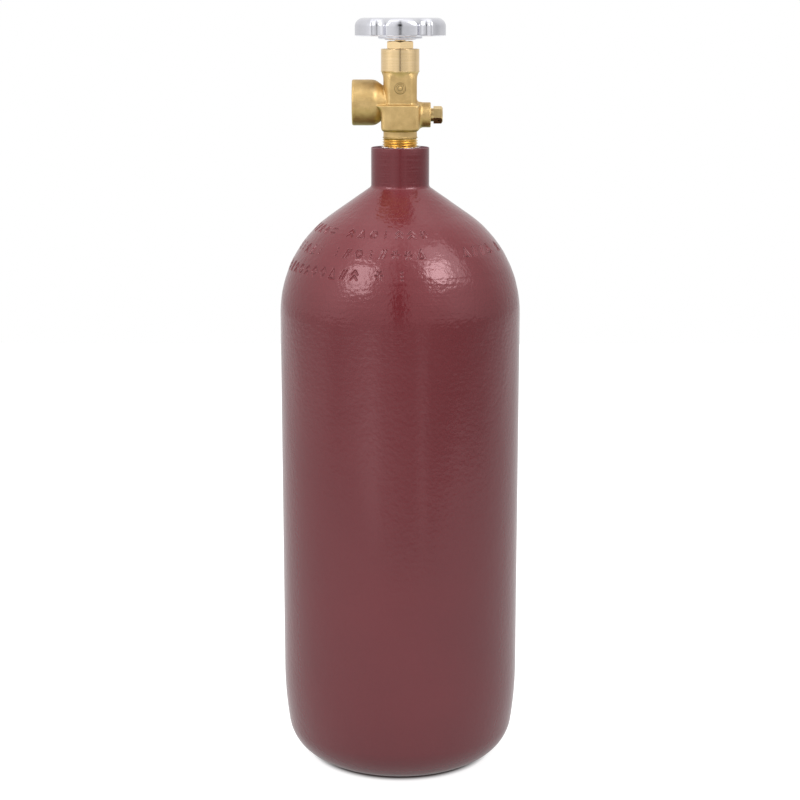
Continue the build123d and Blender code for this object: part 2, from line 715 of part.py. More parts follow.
# ================================================================== handwheel and its fixings
# A scallop is a round hole that opens out at the top with the same rounding as the crown
crown_bottom = WHEEL_TOP - CROWN_R
scallop_axis = Axis((SCALLOP_CENTRE_R, 0, 0), (0, 0, 1))
with BuildPart() as scallop:
    with BuildSketch(Plane.XZ):
        with BuildLine():
            Polyline(
                (SCALLOP_CENTRE_R - SCALLOP_R - CROWN_R, WHEEL_TOP),
                (SCALLOP_CENTRE_R - SCALLOP_R - CROWN_R, WHEEL_TOP + 1),
                (SCALLOP_CENTRE_R, WHEEL_TOP + 1),
                (SCALLOP_CENTRE_R, RIM_BOTTOM - 1),
                (SCALLOP_CENTRE_R - SCALLOP_R, RIM_BOTTOM - 1),
                (SCALLOP_CENTRE_R - SCALLOP_R, crown_bottom),
            )
            CenterArc((SCALLOP_CENTRE_R - SCALLOP_R - CROWN_R, crown_bottom), CROWN_R, 0, 90)
        make_face()
    revolve(axis=scallop_axis)

with BuildPart() as handwheel:
    # Round rim with a rounded crown, cut by the scallops
    with BuildSketch(Plane.XZ):
        with BuildLine():
            Polyline(
                (WHEEL_R - CROWN_R, WHEEL_TOP),
                (0, WHEEL_TOP),
                (0, RIM_BOTTOM),
                (WHEEL_R, RIM_BOTTOM),
                (WHEEL_R, crown_bottom),
            )
            CenterArc((WHEEL_R - CROWN_R, crown_bottom), CROWN_R, 0, 90)
        make_face()
    revolve(axis=Axis.Z)
    with PolarLocations(0, LOBES, start_angle=LOBE_TURN):
        add(scallop.part, mode=Mode.SUBTRACT)
    # Stepped hub under the rim
    with BuildSketch(Plane.XZ):
        with BuildLine():
            Polyline(
                (0, STEP_BOTTOM),
                (STEP_R - FINE_EDGE, STEP_BOTTOM),
                (STEP_R, STEP_BOTTOM + FINE_EDGE),
                (STEP_R, HUB_BOTTOM),
                (HUB_R - FINE_EDGE, HUB_BOTTOM),
                (HUB_R, HUB_BOTTOM + FINE_EDGE),
                (HUB_R, RIM_BOTTOM + 1),
                (0, RIM_BOTTOM + 1),
                close=True,
            )
        make_face()
    revolve(axis=Axis.Z)
    # Cored underside, a pocket between each pair of ribs
    with BuildSketch(Plane.XY.offset(RIM_BOTTOM)):
        Circle(CORING_OUTER_R)
        Circle(CORING_INNER_R, mode=Mode.SUBTRACT)
        with PolarLocations((CORING_INNER_R + CORING_OUTER_R) / 2, LOBES, start_angle=LOBE_TURN + 30):
            Rectangle(2 * (CORING_OUTER_R - CORING_INNER_R), RIB_WIDTH, mode=Mode.SUBTRACT)
    extrude(amount=CORING_DEPTH, mode=Mode.SUBTRACT)
    # Recess for the nut and the square hole for the spindle
    with BuildSketch(Plane.XZ):
        with BuildLine():
            Polyline(
                (0, RECESS_FLOOR),
                (RECESS_R - EDGE, RECESS_FLOOR),
                (RECESS_R, RECESS_FLOOR + EDGE),
                (RECESS_R + RECESS_DRAFT, WHEEL_TOP + OVERCUT),
                (0, WHEEL_TOP + OVERCUT),
                close=True,
            )
        make_face()
    revolve(axis=Axis.Z, mode=Mode.SUBTRACT)
    with BuildSketch(Plane.XY.offset(STEP_BOTTOM - 1)):
        Rectangle(SQUARE + SQUARE_GAP, SQUARE + SQUARE_GAP)
    extrude(amount=RECESS_FLOOR + 2 - STEP_BOTTOM, mode=Mode.SUBTRACT)

handwheel.part.label = "handwheel"
export_step(handwheel.part, "parts/handwheel.step")

spring_top = RECESS_FLOOR + SPRING_HEIGHT
with BuildPart() as handwheel_spring:
    with BuildSketch(Plane.XZ):
        with BuildLine():
            Polyline(
                (SPRING_FOOT_R - SPRING_WIDTH, RECESS_FLOOR + HAIR_GAP),
                (SPRING_FOOT_R, RECESS_FLOOR + HAIR_GAP),
                (SPRING_TOP_R, spring_top),
                (SPRING_TOP_R - SPRING_WIDTH, spring_top),
                close=True,
            )
        make_face()
    revolve(axis=Axis.Z)

handwheel_spring.part.label = "handwheel_spring"
export_step(handwheel_spring.part, "parts/handwheel_spring.step")

washer_bottom = spring_top + HAIR_GAP
washer_top = washer_bottom + WHEEL_WASHER_THICKNESS
wheel_washer = flat_ring(SPINDLE_THREAD_R + 0.2, WHEEL_WASHER_R, washer_bottom, washer_top)
wheel_washer.part.label = "handwheel_washer"
export_step(wheel_washer.part, "parts/handwheel_washer.step")

nut_across = 9.5
nut_turn = 12
nut_corner_r = nut_across / 2 / cos(radians(30))
nut_top = 556.2
with BuildPart() as handwheel_nut:
    with BuildSketch(Plane.XY.offset(washer_top)):
        RegularPolygon(nut_across / 2, 6, major_radius=False, rotation=nut_turn)
        Circle(SPINDLE_THREAD_R + HAIR_GAP, mode=Mode.SUBTRACT)
    extrude(amount=nut_top - washer_top)
    with BuildSketch(Plane.XZ):
        with BuildLine():
            Polyline(
                (0, washer_top),
                (nut_corner_r, washer_top),
                (nut_corner_r, nut_top - FINE_EDGE),
                (nut_across / 2 - FINE_EDGE / 2, nut_top),
                (0, nut_top),
                close=True,
            )
        make_face()
    revolve(axis=Axis.Z, mode=Mode.INTERSECT)

handwheel_nut.part.label = "handwheel_nut"
export_step(handwheel_nut.part, "parts/handwheel_nut.step")

# ================================================================== safety plug, disc and gasket
disc_start = SAFETY_HOLE_X + SAFETY_GASKET_THICKNESS
plug_start = disc_start + DISC_THICKNESS + HAIR_GAP
hex_r = PLUG_HEX_ACROSS / 2
hex_corner = hex_r / cos(radians(30))

with BuildPart() as safety_plug:
    with BuildSketch(Plane.YZ.offset(PLUG_HEX_START)):
        with Locations((0, SAFETY_Z)):
            RegularPolygon(hex_r, 6, major_radius=False, rotation=PLUG_HEX_TURN)
    extrude(amount=PLUG_HEX_END - PLUG_HEX_START)
    with BuildSketch(Plane.XZ):
        with BuildLine():
            Polyline(
                (PLUG_HEX_START, SAFETY_Z),
                (PLUG_HEX_START, SAFETY_Z + hex_corner),
                (PLUG_HEX_END - PLUG_HEX_CROWN, SAFETY_Z + hex_corner),
                (PLUG_HEX_END, SAFETY_Z + hex_r - FINE_EDGE),
                (PLUG_HEX_END, SAFETY_Z),
                close=True,
            )
        make_face()
    revolve(axis=safety_axis, mode=Mode.INTERSECT)
    # Threaded shank, bare between the boss and the hexagon
    with BuildSketch(Plane.XZ):
        with BuildLine():
            Polyline(
                (plug_start, SAFETY_Z),
                (plug_start, SAFETY_Z + SAFETY_HOLE_R - THREAD_EDGE),
                (plug_start + THREAD_EDGE, SAFETY_Z + SAFETY_HOLE_R - FACE_GAP),
                (PLUG_HEX_START + OVERCUT, SAFETY_Z + SAFETY_HOLE_R - FACE_GAP),
                (PLUG_HEX_START + OVERCUT, SAFETY_Z),
                close=True,
            )
        make_face()
    revolve(axis=safety_axis)
    # Gas way from the disc to the vent holes on two sides of the hexagon
    with BuildSketch(Plane.YZ.offset(plug_start - OVERCUT)):
        with Locations((0, SAFETY_Z)):
            Circle(GAS_WAY_R)
    extrude(amount=VENT_X + VENT_R + FINE_EDGE - plug_start + OVERCUT, mode=Mode.SUBTRACT)
    vent_direction = (0, cos(radians(VENT_ANGLE)), sin(radians(VENT_ANGLE)))
    with BuildSketch(Plane(origin=(VENT_X, 0, SAFETY_Z), x_dir=(1, 0, 0), z_dir=vent_direction)):
        Circle(VENT_R)
    extrude(amount=PLUG_HEX_ACROSS, both=True, mode=Mode.SUBTRACT)

safety_plug.part.label = "safety_plug"
export_step(safety_plug.part, "parts/safety_plug.step")

with BuildPart() as rupture_disc:
    with BuildSketch(Plane.YZ.offset(disc_start)):
        with Locations((0, SAFETY_Z)):
            Circle(SAFETY_HOLE_R - SAFETY_FIT)
    extrude(amount=DISC_THICKNESS)

rupture_disc.part.label = "rupture_disc"
export_step(rupture_disc.part, "parts/rupture_disc.step")

with BuildPart() as safety_gasket:
    with BuildSketch(Plane.YZ.offset(SAFETY_HOLE_X)):
        with Locations((0, SAFETY_Z)):
            Circle(SAFETY_HOLE_R - SAFETY_FIT)
            Circle(SAFETY_PASSAGE_R + SAFETY_FIT, mode=Mode.SUBTRACT)
    extrude(amount=disc_start - SAFETY_HOLE_X)

safety_gasket.part.label = "safety_gasket"
export_step(safety_gasket.part, "parts/safety_gasket.step")
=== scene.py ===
import json
import math

import bpy
import numpy as np
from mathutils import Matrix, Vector


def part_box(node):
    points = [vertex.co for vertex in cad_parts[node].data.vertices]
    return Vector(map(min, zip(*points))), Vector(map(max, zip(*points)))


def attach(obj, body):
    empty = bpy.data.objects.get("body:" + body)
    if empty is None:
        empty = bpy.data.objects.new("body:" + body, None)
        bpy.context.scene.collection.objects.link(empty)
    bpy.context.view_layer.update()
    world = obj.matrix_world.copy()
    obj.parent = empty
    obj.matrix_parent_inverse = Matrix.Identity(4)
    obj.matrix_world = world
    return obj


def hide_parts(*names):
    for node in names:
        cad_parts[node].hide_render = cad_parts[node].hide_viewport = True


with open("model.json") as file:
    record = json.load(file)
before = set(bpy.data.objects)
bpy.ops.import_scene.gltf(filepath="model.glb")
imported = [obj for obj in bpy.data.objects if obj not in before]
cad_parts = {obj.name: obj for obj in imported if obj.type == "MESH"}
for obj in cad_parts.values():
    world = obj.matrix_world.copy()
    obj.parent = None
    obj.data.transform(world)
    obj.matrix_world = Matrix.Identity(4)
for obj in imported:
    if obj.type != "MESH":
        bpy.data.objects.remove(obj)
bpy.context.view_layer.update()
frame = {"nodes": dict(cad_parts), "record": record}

MM = 0.001

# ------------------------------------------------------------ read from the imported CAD, in millimetres
_, shell_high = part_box("cylinder_shell")
wheel_low, wheel_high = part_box("handwheel")
valve_low, valve_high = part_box("valve_body")
WALL_R = shell_high.x / MM
NECK_TOP = shell_high.z / MM
WHEEL_TOP = wheel_high.z / MM
WHEEL_FOOT = wheel_low.z / MM
COLLAR_TOP = valve_high.z / MM
OUTLET_END = valve_low.x / MM
mounts = {m["name"]: m for m in frame["record"]["mounts"]}
OUTLET_Z = mounts["outlet_port"]["pos_m"][2] / MM
OUTLET_BORE_R = mounts["outlet_port"]["dims"]["r_mm"]

# ------------------------------------------------------------ dimensions, in millimetres and radians
# shell profile, from the foot up
KNUCKLE_R = 30.8
BLEND_R = 292.0
BLEND_TURN = math.radians(8.6)
DISH_R = 51.0
DISH_DEPTH = 12.0
FOOT_EDGE = 0.6  # from the dish's edge to the flat ring the foot stands on
SHOULDER_Z = 342.0
DOME_TURN = math.radians(55)
NECK_R = 21.3
NECK_BLEND_R = 3.0
NECK_BEVEL = 0.4
NECK_FOOT_Z = 436.0  # where the cone has turned into the neck
NECK_THREAD_GAP = 0.33
NECK_THREAD_EDGE = 0.7  # bevel of the threaded bore's mouth
NECK_THREAD_FOOT_R = 12.46
NECK_THREAD_FOOT_Z = 442.0
THROAT_R = 12.0
THROAT_BOTTOM = 427.0

# punch marks on the shoulder
MARK_PITCH = 9.0
MARK_SKIP = 0.13  # share of the places left empty
MARK_KINDS = 8
MARK_WOBBLE = 0.25
GROOVE_DEPTH = 0.80
GROOVE_HALF = 0.75
LIP_HEIGHT = 0.10
LIP_PLACE = 1.05  # from the middle of the groove to the top of its lip
LIP_HALF = 0.45

# valve, from the thread up
THREAD_PITCH = 25.4 / 14
STEM_TOP = 470.9
STEM_TOP_R = 13.0
STEM_BOTTOM = 444.0
STEM_BORE_R = 4.0
TAPER = 1 / 32
INLET_THREAD_START = 447.0
INLET_THREAD_DEPTH = 1.05
ROUND_NECK_R = 12.25  # between the thread and the block
ROUND_NECK_TOP = 480.0
ROUND_NECK_LIP_R = 12.85
BLOCK_BOTTOM = 476.0
BLOCK_TOP = 495.1
BLOCK_HALF_X = 13.8
BLOCK_HALF_Y = 16.7  # before its corners are rounded
BLOCK_FLARE = 4.6
BLOCK_FLARE_Z = 487.0
COLUMN_HALF = 12.15
COLUMN_CHAMFER = 3.5
COLUMN_BOTTOM = 480.0
COLUMN_CLIMB_Z = 509.5  # the column's corners are drawn in above this
COLUMN_FLARE_Z = 511.5  # and its round top widens to the collar above this
COLLAR_R = 13.95
COLLAR_BOTTOM = 518.2
COLLAR_FLOOR = 512.5
SPINDLE_BORE_R = 10.6
SPINDLE_BORE_FLOOR = 512.0
EMBLEM_Z = 507.0

# outlet boss and safety boss
BOSS_R = 16.5
BOSS_CONE_X = -18.2  # the boss narrows from here towards the column
BOSS_SLOPE = math.radians(36)
BORE_END_X = -19.0
OUTLET_SLEEVE_R = 12.9
OUTLET_THREAD_DEPTH = 1.0
NIPPLE_SEAT_R = 8.5
PASSAGE_R = 3.5
SAFETY_Z = 487.6
SAFETY_BOSS_R = 9.05
SAFETY_END = 22.2
SAFETY_HOLE_R = 5.0
SAFETY_HOLE_X = 14.5

# handwheel
WHEEL_R = 33.4
RIM_BOTTOM = 544.1
CROWN_R = 6.3
SCALLOP_R = 6.0
SCALLOP_CENTRE_R = 35.2
LOBES = 6
LOBE_TURN = math.radians(2)
CROWN_DISH = 1.3
CROWN_DISH_R = 12.0  # the dish's floor; it rises over the next CROWN_DISH_RISE
CROWN_DISH_RISE = 9.0
POCKET_R = 21.9
POCKET_HALF = 3.4
POCKET_DEPTH = 7.0
RIB_HALF = 1.6
HUB_R = 16.0
HUB_STEP = 0.8
HUB_STEP_R = 11.5
HUB_OVERLAP = 2.0  # how far the hub and its step run up into the rim
RECESS_R = 10.0
RECESS_FLOOR = 550.0
SQUARE_HALF = 2.83

# sealing tape
TAPE_FOOT_Z = 446.0
TAPE_FOOT_R = 12.24
TAPE_FOOT_OUTER_R = 12.48

# painted shade: olive tints that darken brass surfaces facing down
UNDERSIDE_SHADE_TINT = (0.48, 0.72, 0.38)
DEEP_UNDERSIDE_SHADE_TINT = (0.05, 0.30, 0.10)

# numbered sockets of a colour mix node
MIX_A = 6
MIX_B = 7
MIX_COLOUR = 2


# ================================================================== mesh helpers
def new_piece(name, points_mm, faces, body, replaced, material, smooth=True):
    """A mesh object made from millimetre points, riding on a CAD body."""
    mesh = bpy.data.meshes.new(name)
    mesh.from_pydata((np.asarray(points_mm, float) * MM).tolist(), [], [list(f) for f in faces])
    mesh.validate()
    mesh.update()
    mesh.polygons.foreach_set("use_smooth", [smooth] * len(mesh.polygons))
    piece = bpy.data.objects.new(name, mesh)
    bpy.context.scene.collection.objects.link(piece)
    mesh.materials.append(material)
    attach(piece, body)
    if replaced:
        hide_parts(*replaced)
    return piece


def ring_faces(rows, columns, closed_rows):
    """Quads of a grid that wraps round its columns, and round its rows too if asked."""
    last = rows if closed_rows else rows - 1
    row = np.arange(last)[:, None]
    column = np.arange(columns)[None, :]
    next_row = (row + 1) % rows
    next_column = (column + 1) % columns
    quads = np.stack(
        [
            row * columns + column,
            row * columns + next_column,
            next_row * columns + next_column,
            next_row * columns + column,
        ],
        axis=-1,
    )
    return quads.reshape(-1, 4)


def full_turn(columns):
    """Evenly spaced angles once round, in radians."""
    return np.linspace(0, 2 * math.pi, columns, endpoint=False)


def arc(centre, radius, start, end, count):
    """Points of an arc in the (radius, height) plane, angles in radians."""
    turn = np.linspace(start, end, count)
    return [(centre[0] + radius * math.cos(t), centre[1] + radius * math.sin(t)) for t in turn]


def lathe(name, profile, body, replaced, material, columns=128):
    """A closed ring turned round the upright axis from a closed outline of (radius, height) points."""
    outline = np.array(profile)
    turn = full_turn(columns)
    radius = outline[:, 0][:, None]
    height = np.repeat(outline[:, 1][:, None], columns, 1)
    points = np.stack([radius * np.cos(turn)[None, :], radius * np.sin(turn)[None, :], height], -1)
    faces = ring_faces(len(outline), columns, True)
    new_piece(name, points.reshape(-1, 3), faces, body, replaced, material)


def smooth_max(a, b, size):
    """Larger of two fields, rounded where they meet."""
    near = np.maximum(size - np.abs(a - b), 0) / size
    return np.maximum(a, b) + near * near * size / 4


def smooth_min(a, b, size):
    """Smaller of two fields, with a fillet where they meet."""
    near = np.maximum(size - np.abs(a - b), 0) / size
    return np.minimum(a, b) - near * near * size / 4


def net_points(value, corners, cells, step):
    """For each cell, the mean of the places where its edges cross zero, from the grid's first corner."""
    total = np.zeros((len(cells), 3))
    hits = np.zeros(len(cells))
    for corner in corners:
        for direction in range(3):
            if corner[direction]:
                continue
            other = corner.copy()
            other[direction] = 1
            a = value[tuple((cells + corner).T)]
            b = value[tuple((cells + other).T)]
            crossing = (a < 0) != (b < 0)
            share = np.where(crossing, a / np.where(crossing, a - b, 1), 0)
            point = cells + corner + 0.0
            point[:, direction] += share
            total += point * crossing[:, None]
            hits += crossing
    return step * total / hits[:, None]


def net_quads(inside, number, shape):
    """A quad round every grid edge that crosses the surface, turned to face outwards."""
    quads = []
    for direction in range(3):
        u, v = [(1, 2), (2, 0), (0, 1)][direction]
        where = np.argwhere(inside != np.roll(inside, -1, direction))
        ok = (where[:, direction] < shape[direction]) & (where[:, u] > 0) & (where[:, v] > 0)
        ok &= (where[:, u] < shape[u]) & (where[:, v] < shape[v])
        where = where[ok]
        outward = inside[tuple(where.T)]
        step_u = np.zeros(3, int)
        step_v = np.zeros(3, int)
        step_u[u] = 1
        step_v[v] = 1
        ring = [
            number[tuple((where - step_u - step_v).T)],
            number[tuple((where - step_v).T)],
            number[tuple(where.T)],
            number[tuple((where - step_u).T)],
        ]
        quad = np.stack(ring, -1)
        quads.append(np.where(outward[:, None], quad, quad[:, ::-1]))
    quads = np.concatenate(quads)
    return quads[(quads >= 0).all(1)]


def settle(points, field, step, rounds=4):
    """The points moved onto the surface where the field is zero, by short Newton steps."""
    nudge = 0.02 * step
    for _ in range(rounds):
        here = field(*points.T)
        slope = np.stack(
            [
                field(*(points + nudge * np.eye(3)[k]).T) - field(*(points - nudge * np.eye(3)[k]).T)
                for k in range(3)
            ],
            -1,
        ) / (2 * nudge)
        move = here[:, None] * slope / np.maximum((slope**2).sum(1, keepdims=True), 0.05)
        length = np.linalg.norm(move, axis=1, keepdims=True)
        move *= np.minimum(1, 0.3 * step / np.maximum(length, 1e-9))
        points = points - move
    return points


def surface_of(field, low, high, step):
    """Points and quads of the surface where field(x, y, z) is zero, in millimetres (surface nets)."""
    axes = [np.arange(a - 2 * step, b + 2.5 * step, step) for a, b in zip(low, high)]
    x, y, z = np.meshgrid(*axes, indexing="ij", sparse=True)
    value = field(x, y, z)
    inside = value < 0
    shape = np.array(value.shape) - 1
    corners = [np.array(c) for c in np.ndindex(2, 2, 2)]
    count = np.zeros(shape, np.int8)
    for c in corners:
        count += inside[c[0] : c[0] + shape[0], c[1] : c[1] + shape[1], c[2] : c[2] + shape[2]]
    cells = np.argwhere((count > 0) & (count < 8))
    number = np.full(shape, -1, np.int64)
    number[tuple(cells.T)] = np.arange(len(cells))
    first = np.array([a[0] for a in axes])
    points = first + net_points(value, corners, cells, step)
    return settle(points, field, step), net_quads(inside, number, shape)


# ================================================================== materials
def node_material(name):
    """An empty node material, its shader, and helpers to add and to link nodes."""
    material = bpy.data.materials.new(name)
    material.use_nodes = True
    tree = material.node_tree
    shader = tree.nodes["Principled BSDF"]

    def add(kind, inputs=None, **settings):
        node = tree.nodes.new(kind)
        for key, value in settings.items():
            setattr(node, key, value)
        for key, value in (inputs or {}).items():
            if isinstance(value, bpy.types.NodeSocket):
                tree.links.new(value, node.inputs[key])
            else:
                node.inputs[key].default_value = value
        return node

    def link(output, node, socket):
        tree.links.new(output, node.inputs[socket])

    return material, shader, add, link


def noise(add, place, scale, detail, **more):
    """The factor of a noise texture."""
    inputs = {"Vector": place, "Scale": scale, "Detail": detail, **more}
    return add("ShaderNodeTexNoise", inputs).outputs["Fac"]


def ranged(add, value, low, high, start=0.0, end=1.0):
    """A number that goes from low to high while the value goes from start to end."""
    inputs = {"Value": value, "From Min": start, "From Max": end, "To Min": low, "To Max": high}
    return add("ShaderNodeMapRange", inputs).outputs["Result"]


def two_tones(add, factor, dark, light, top=0.7):
    """A colour that goes from dark to light as a noise factor rises."""
    ramp = add("ShaderNodeValToRGB", {"Fac": factor})
    first, last = ramp.color_ramp.elements
    first.position = 0.3
    first.color = (*dark, 1)
    last.position = top
    last.color = (*light, 1)
    return ramp.outputs["Color"]


def paint_material():
    """Maroon enamel with a reddish gloss, orange peel, slight colour drift, dust specks and painted shade
    on the neck.
    """
    material, shader, add, link = node_material("maroon_enamel")
    place = add("ShaderNodeTexCoord").outputs["Object"]
    drift = noise(add, place, 14.0, 3.0)
    speck = noise(add, place, 900.0, 2.0)
    tone = two_tones(add, drift, (0.1110, 0.0142, 0.0180), (0.1220, 0.0162, 0.0203))
    mottle = ranged(add, speck, 0.93, 1.07)
    coloured = add("ShaderNodeVectorMath", {0: tone}, operation="SCALE")
    link(coloured.outputs["Vector"], shader, "Base Color")
    peel = noise(add, place, 330.0, 2.0, Roughness=0.45)
    wave = noise(add, place, 70.0, 1.0)
    # painted shade: the enamel's colour is darker on the turned neck; the enamel is also smoother there
    # than on the spun shoulder and the wall
    level = add("ShaderNodeSeparateXYZ", {"Vector": place}).outputs["Z"]
    neck_foot = NECK_FOOT_Z * MM
    on_neck = (neck_foot, neck_foot + 0.003)
    shade = ranged(add, level, 1.0, 0.88, *on_neck)
    strength = add("ShaderNodeMath", {0: mottle, 1: shade}, operation="MULTIPLY")
    link(strength.outputs[0], coloured, "Scale")
    slow_size = ranged(add, level, 0.08, 0.03, *on_neck)
    on_dome = ((SHOULDER_Z - 30) * MM, (SHOULDER_Z + 15) * MM)
    peel_size = ranged(add, level, 0.24, 0.42, *on_dome)
    fine_size = ranged(add, level, peel_size, 0.10, *on_neck)
    slow = add("ShaderNodeBump", {"Height": wave, "Distance": 0.002})
    link(slow_size, slow, "Strength")
    fine = add("ShaderNodeBump", {"Height": peel, "Distance": 0.0006})
    link(fine_size, fine, "Strength")
    # faint spinning lines run round the shoulder under the enamel
    stretched = add("ShaderNodeMapping", {"Vector": place, "Scale": (22, 22, 560)})
    lines = noise(add, stretched.outputs["Vector"], 1.0, 2.0)
    line_size = ranged(add, level, 0.02, 0.16, *on_dome)
    spun = add("ShaderNodeBump", {"Height": lines, "Distance": 0.0006})
    link(line_size, spun, "Strength")
    link(slow.outputs["Normal"], spun, "Normal")
    link(spun.outputs["Normal"], fine, "Normal")
    link(fine.outputs["Normal"], shader, "Normal")
    rough = ranged(add, drift, 0.14, 0.20)
    link(rough, shader, "Roughness")
    shader.inputs["IOR"].default_value = 1.5
    shader.inputs["Specular IOR Level"].default_value = 0.85
    shader.inputs["Specular Tint"].default_value = (1.0, 0.68, 0.72, 1)
    return material


def overspray_material():
    """Thin, dry overspray of the enamel on a machined face: dark, matt and grainy."""
    material, shader, add, link = node_material("maroon_overspray")
    place = add("ShaderNodeTexCoord").outputs["Object"]
    grain = noise(add, place, 700.0, 3.0)
    tone = two_tones(add, grain, (0.105, 0.030, 0.046), (0.170, 0.060, 0.080))
    link(tone, shader, "Base Color")
    shader.inputs["Roughness"].default_value = 0.75
    shader.inputs["Specular IOR Level"].default_value = 0.2
    bump = add("ShaderNodeBump", {"Height": grain, "Strength": 0.3, "Distance": 0.0002})
    link(bump.outputs["Normal"], shader, "Normal")
    return material


def shade_below(add, link, colour, tint):
    """The colour with a darker tint fading in on surfaces that face down: painted shade."""
    facing = add("ShaderNodeNewGeometry").outputs["Normal"]
    downward = add("ShaderNodeSeparateXYZ", {"Vector": facing}).outputs["Z"]
    under = ranged(add, downward, 0.0, 0.75, -0.1, -0.8)
    darker = add("ShaderNodeVectorMath", {0: colour, 1: tint}, operation="MULTIPLY")
    underside_shaded = add("ShaderNodeMix", {"Factor": under}, data_type="RGBA")
    link(colour, underside_shaded, MIX_A)
    link(darker.outputs["Vector"], underside_shaded, MIX_B)
    return underside_shaded.outputs[MIX_COLOUR]


def forged_brass_material():
    """Forged and tumbled brass: fine grain, uneven tone and roughness, painted shade on surfaces facing
    down and round the raised mark.
    """
    material, shader, add, link = node_material("forged_brass")
    place = add("ShaderNodeTexCoord").outputs["Object"]
    grain = noise(add, place, 1500.0, 3.0, Roughness=0.6)
    blotch = noise(add, place, 160.0, 4.0)
    tone = two_tones(add, blotch, (0.58, 0.395, 0.165), (0.72, 0.515, 0.235), 0.72)
    speckle = ranged(add, grain, 0.8, 1.2)
    coloured = add("ShaderNodeVectorMath", {0: tone}, operation="SCALE")
    link(speckle, coloured, "Scale")
    # painted shade: an olive tint darkens the forging's surfaces that face down
    underside_shaded = shade_below(add, link, coloured.outputs["Vector"], UNDERSIDE_SHADE_TINT)
    # painted shade lies in the corners of the raised mark: dark rings at these distances from its centre,
    # in cm
    centred = add("ShaderNodeVectorMath", {0: place, 1: (0, 0, EMBLEM_Z * MM)}, operation="SUBTRACT")
    flat = add("ShaderNodeVectorMath", {0: centred.outputs["Vector"], 1: (1, 0, 1)}, operation="MULTIPLY")
    away = add("ShaderNodeVectorMath", {0: flat.outputs["Vector"]}, operation="LENGTH")
    away_cm = add("ShaderNodeMath", {0: away.outputs["Value"], 1: 100.0}, operation="MULTIPLY")
    edges = add("ShaderNodeValToRGB", {"Fac": away_cm.outputs[0]})
    ring_shade = [(0.14, 1.0), (0.18, 0.25), (0.22, 1.0), (0.28, 1.0), (0.305, 0.14)]
    ring_shade += [(0.33, 1.0), (0.37, 1.0), (0.395, 0.14), (0.43, 1.0)]
    for position, brightness in ring_shade:
        edges.color_ramp.elements.new(position).color = (brightness, brightness, brightness, 1)
    edges.color_ramp.elements[0].color = (1, 1, 1, 1)
    front = add("ShaderNodeSeparateXYZ", {"Vector": place}).outputs["Y"]
    on_front = ranged(add, front, 0.0, 1.0, -0.0119, -0.0121)
    mix_kind = {"data_type": "RGBA", "blend_type": "MULTIPLY"}
    ring_shaded = add("ShaderNodeMix", {"Factor": on_front}, **mix_kind)
    link(underside_shaded, ring_shaded, MIX_A)
    link(edges.outputs["Color"], ring_shaded, MIX_B)
    link(ring_shaded.outputs[MIX_COLOUR], shader, "Base Color")
    shader.inputs["Metallic"].default_value = 1.0
    rough = ranged(add, blotch, 0.40, 0.54)
    link(rough, shader, "Roughness")
    pits = add("ShaderNodeBump", {"Height": grain, "Strength": 0.5, "Distance": 0.00022})
    dents = add("ShaderNodeBump", {"Height": blotch, "Strength": 0.25, "Distance": 0.0006})
    link(dents.outputs["Normal"], pits, "Normal")
    link(pits.outputs["Normal"], shader, "Normal")
    return material


def turned_material(name, dark, light, roughness, axis="Z", lines=2600.0, underside_shade=None):
    """Metal turned on a lathe: fine rings along one axis, in tone and in bump; the optional tint is
    painted shade on surfaces that face down.
    """
    material, shader, add, link = node_material(name)
    place = add("ShaderNodeTexCoord").outputs["Object"]
    stretch = {"X": (lines, 40, 40), "Z": (40, 40, lines)}[axis]
    scaled = add("ShaderNodeMapping", {"Vector": place, "Scale": stretch})
    rings = noise(add, scaled.outputs["Vector"], 1.0, 3.0)
    tone = two_tones(add, rings, dark, light)
    # painted shade: the tint darkens surfaces that face down
    if underside_shade:
        tone = shade_below(add, link, tone, underside_shade)
    link(tone, shader, "Base Color")
    shader.inputs["Metallic"].default_value = 1.0
    smudge = noise(add, place, 120.0, 3.0)
    rough = ranged(add, smudge, roughness * 0.8, roughness * 1.25)
    link(rough, shader, "Roughness")
    bump = add("ShaderNodeBump", {"Height": rings, "Strength": 0.12, "Distance": 0.0001})
    link(bump.outputs["Normal"], shader, "Normal")
    return material


def polished_alloy_material():
    """Polished die-cast alloy with soft waviness and fine hairline scratches."""
    material, shader, add, link = node_material("polished_alloy")
    place = add("ShaderNodeTexCoord").outputs["Object"]
    wave = noise(add, place, 95.0, 2.0)
    hair = noise(add, place, 1300.0, 3.0, Distortion=1.5)
    tone = two_tones(add, wave, (0.70, 0.70, 0.75), (0.76, 0.76, 0.80))
    link(tone, shader, "Base Color")
    shader.inputs["Metallic"].default_value = 1.0
    rough = ranged(add, hair, 0.08, 0.16)
    link(rough, shader, "Roughness")
    soft = add("ShaderNodeBump", {"Height": wave, "Strength": 0.12, "Distance": 0.0006})
    fine = add("ShaderNodeBump", {"Height": hair, "Strength": 0.08, "Distance": 0.0001})
    link(soft.outputs["Normal"], fine, "Normal")
    link(fine.outputs["Normal"], shader, "Normal")
    return material


def soft_material(name, dark, light, roughness, scale):
    """Plastic film, nylon or rubber: mottled, matte, with a fine grain."""
    material, shader, add, link = node_material(name)
    place = add("ShaderNodeTexCoord").outputs["Object"]
    mottle = noise(add, place, scale, 3.0)
    link(two_tones(add, mottle, dark, light), shader, "Base Color")
    shader.inputs["Roughness"].default_value = roughness
    bump = add("ShaderNodeBump", {"Height": mottle, "Strength": 0.3, "Distance": 0.0002})
    link(bump.outputs["Normal"], shader, "Normal")
    return material


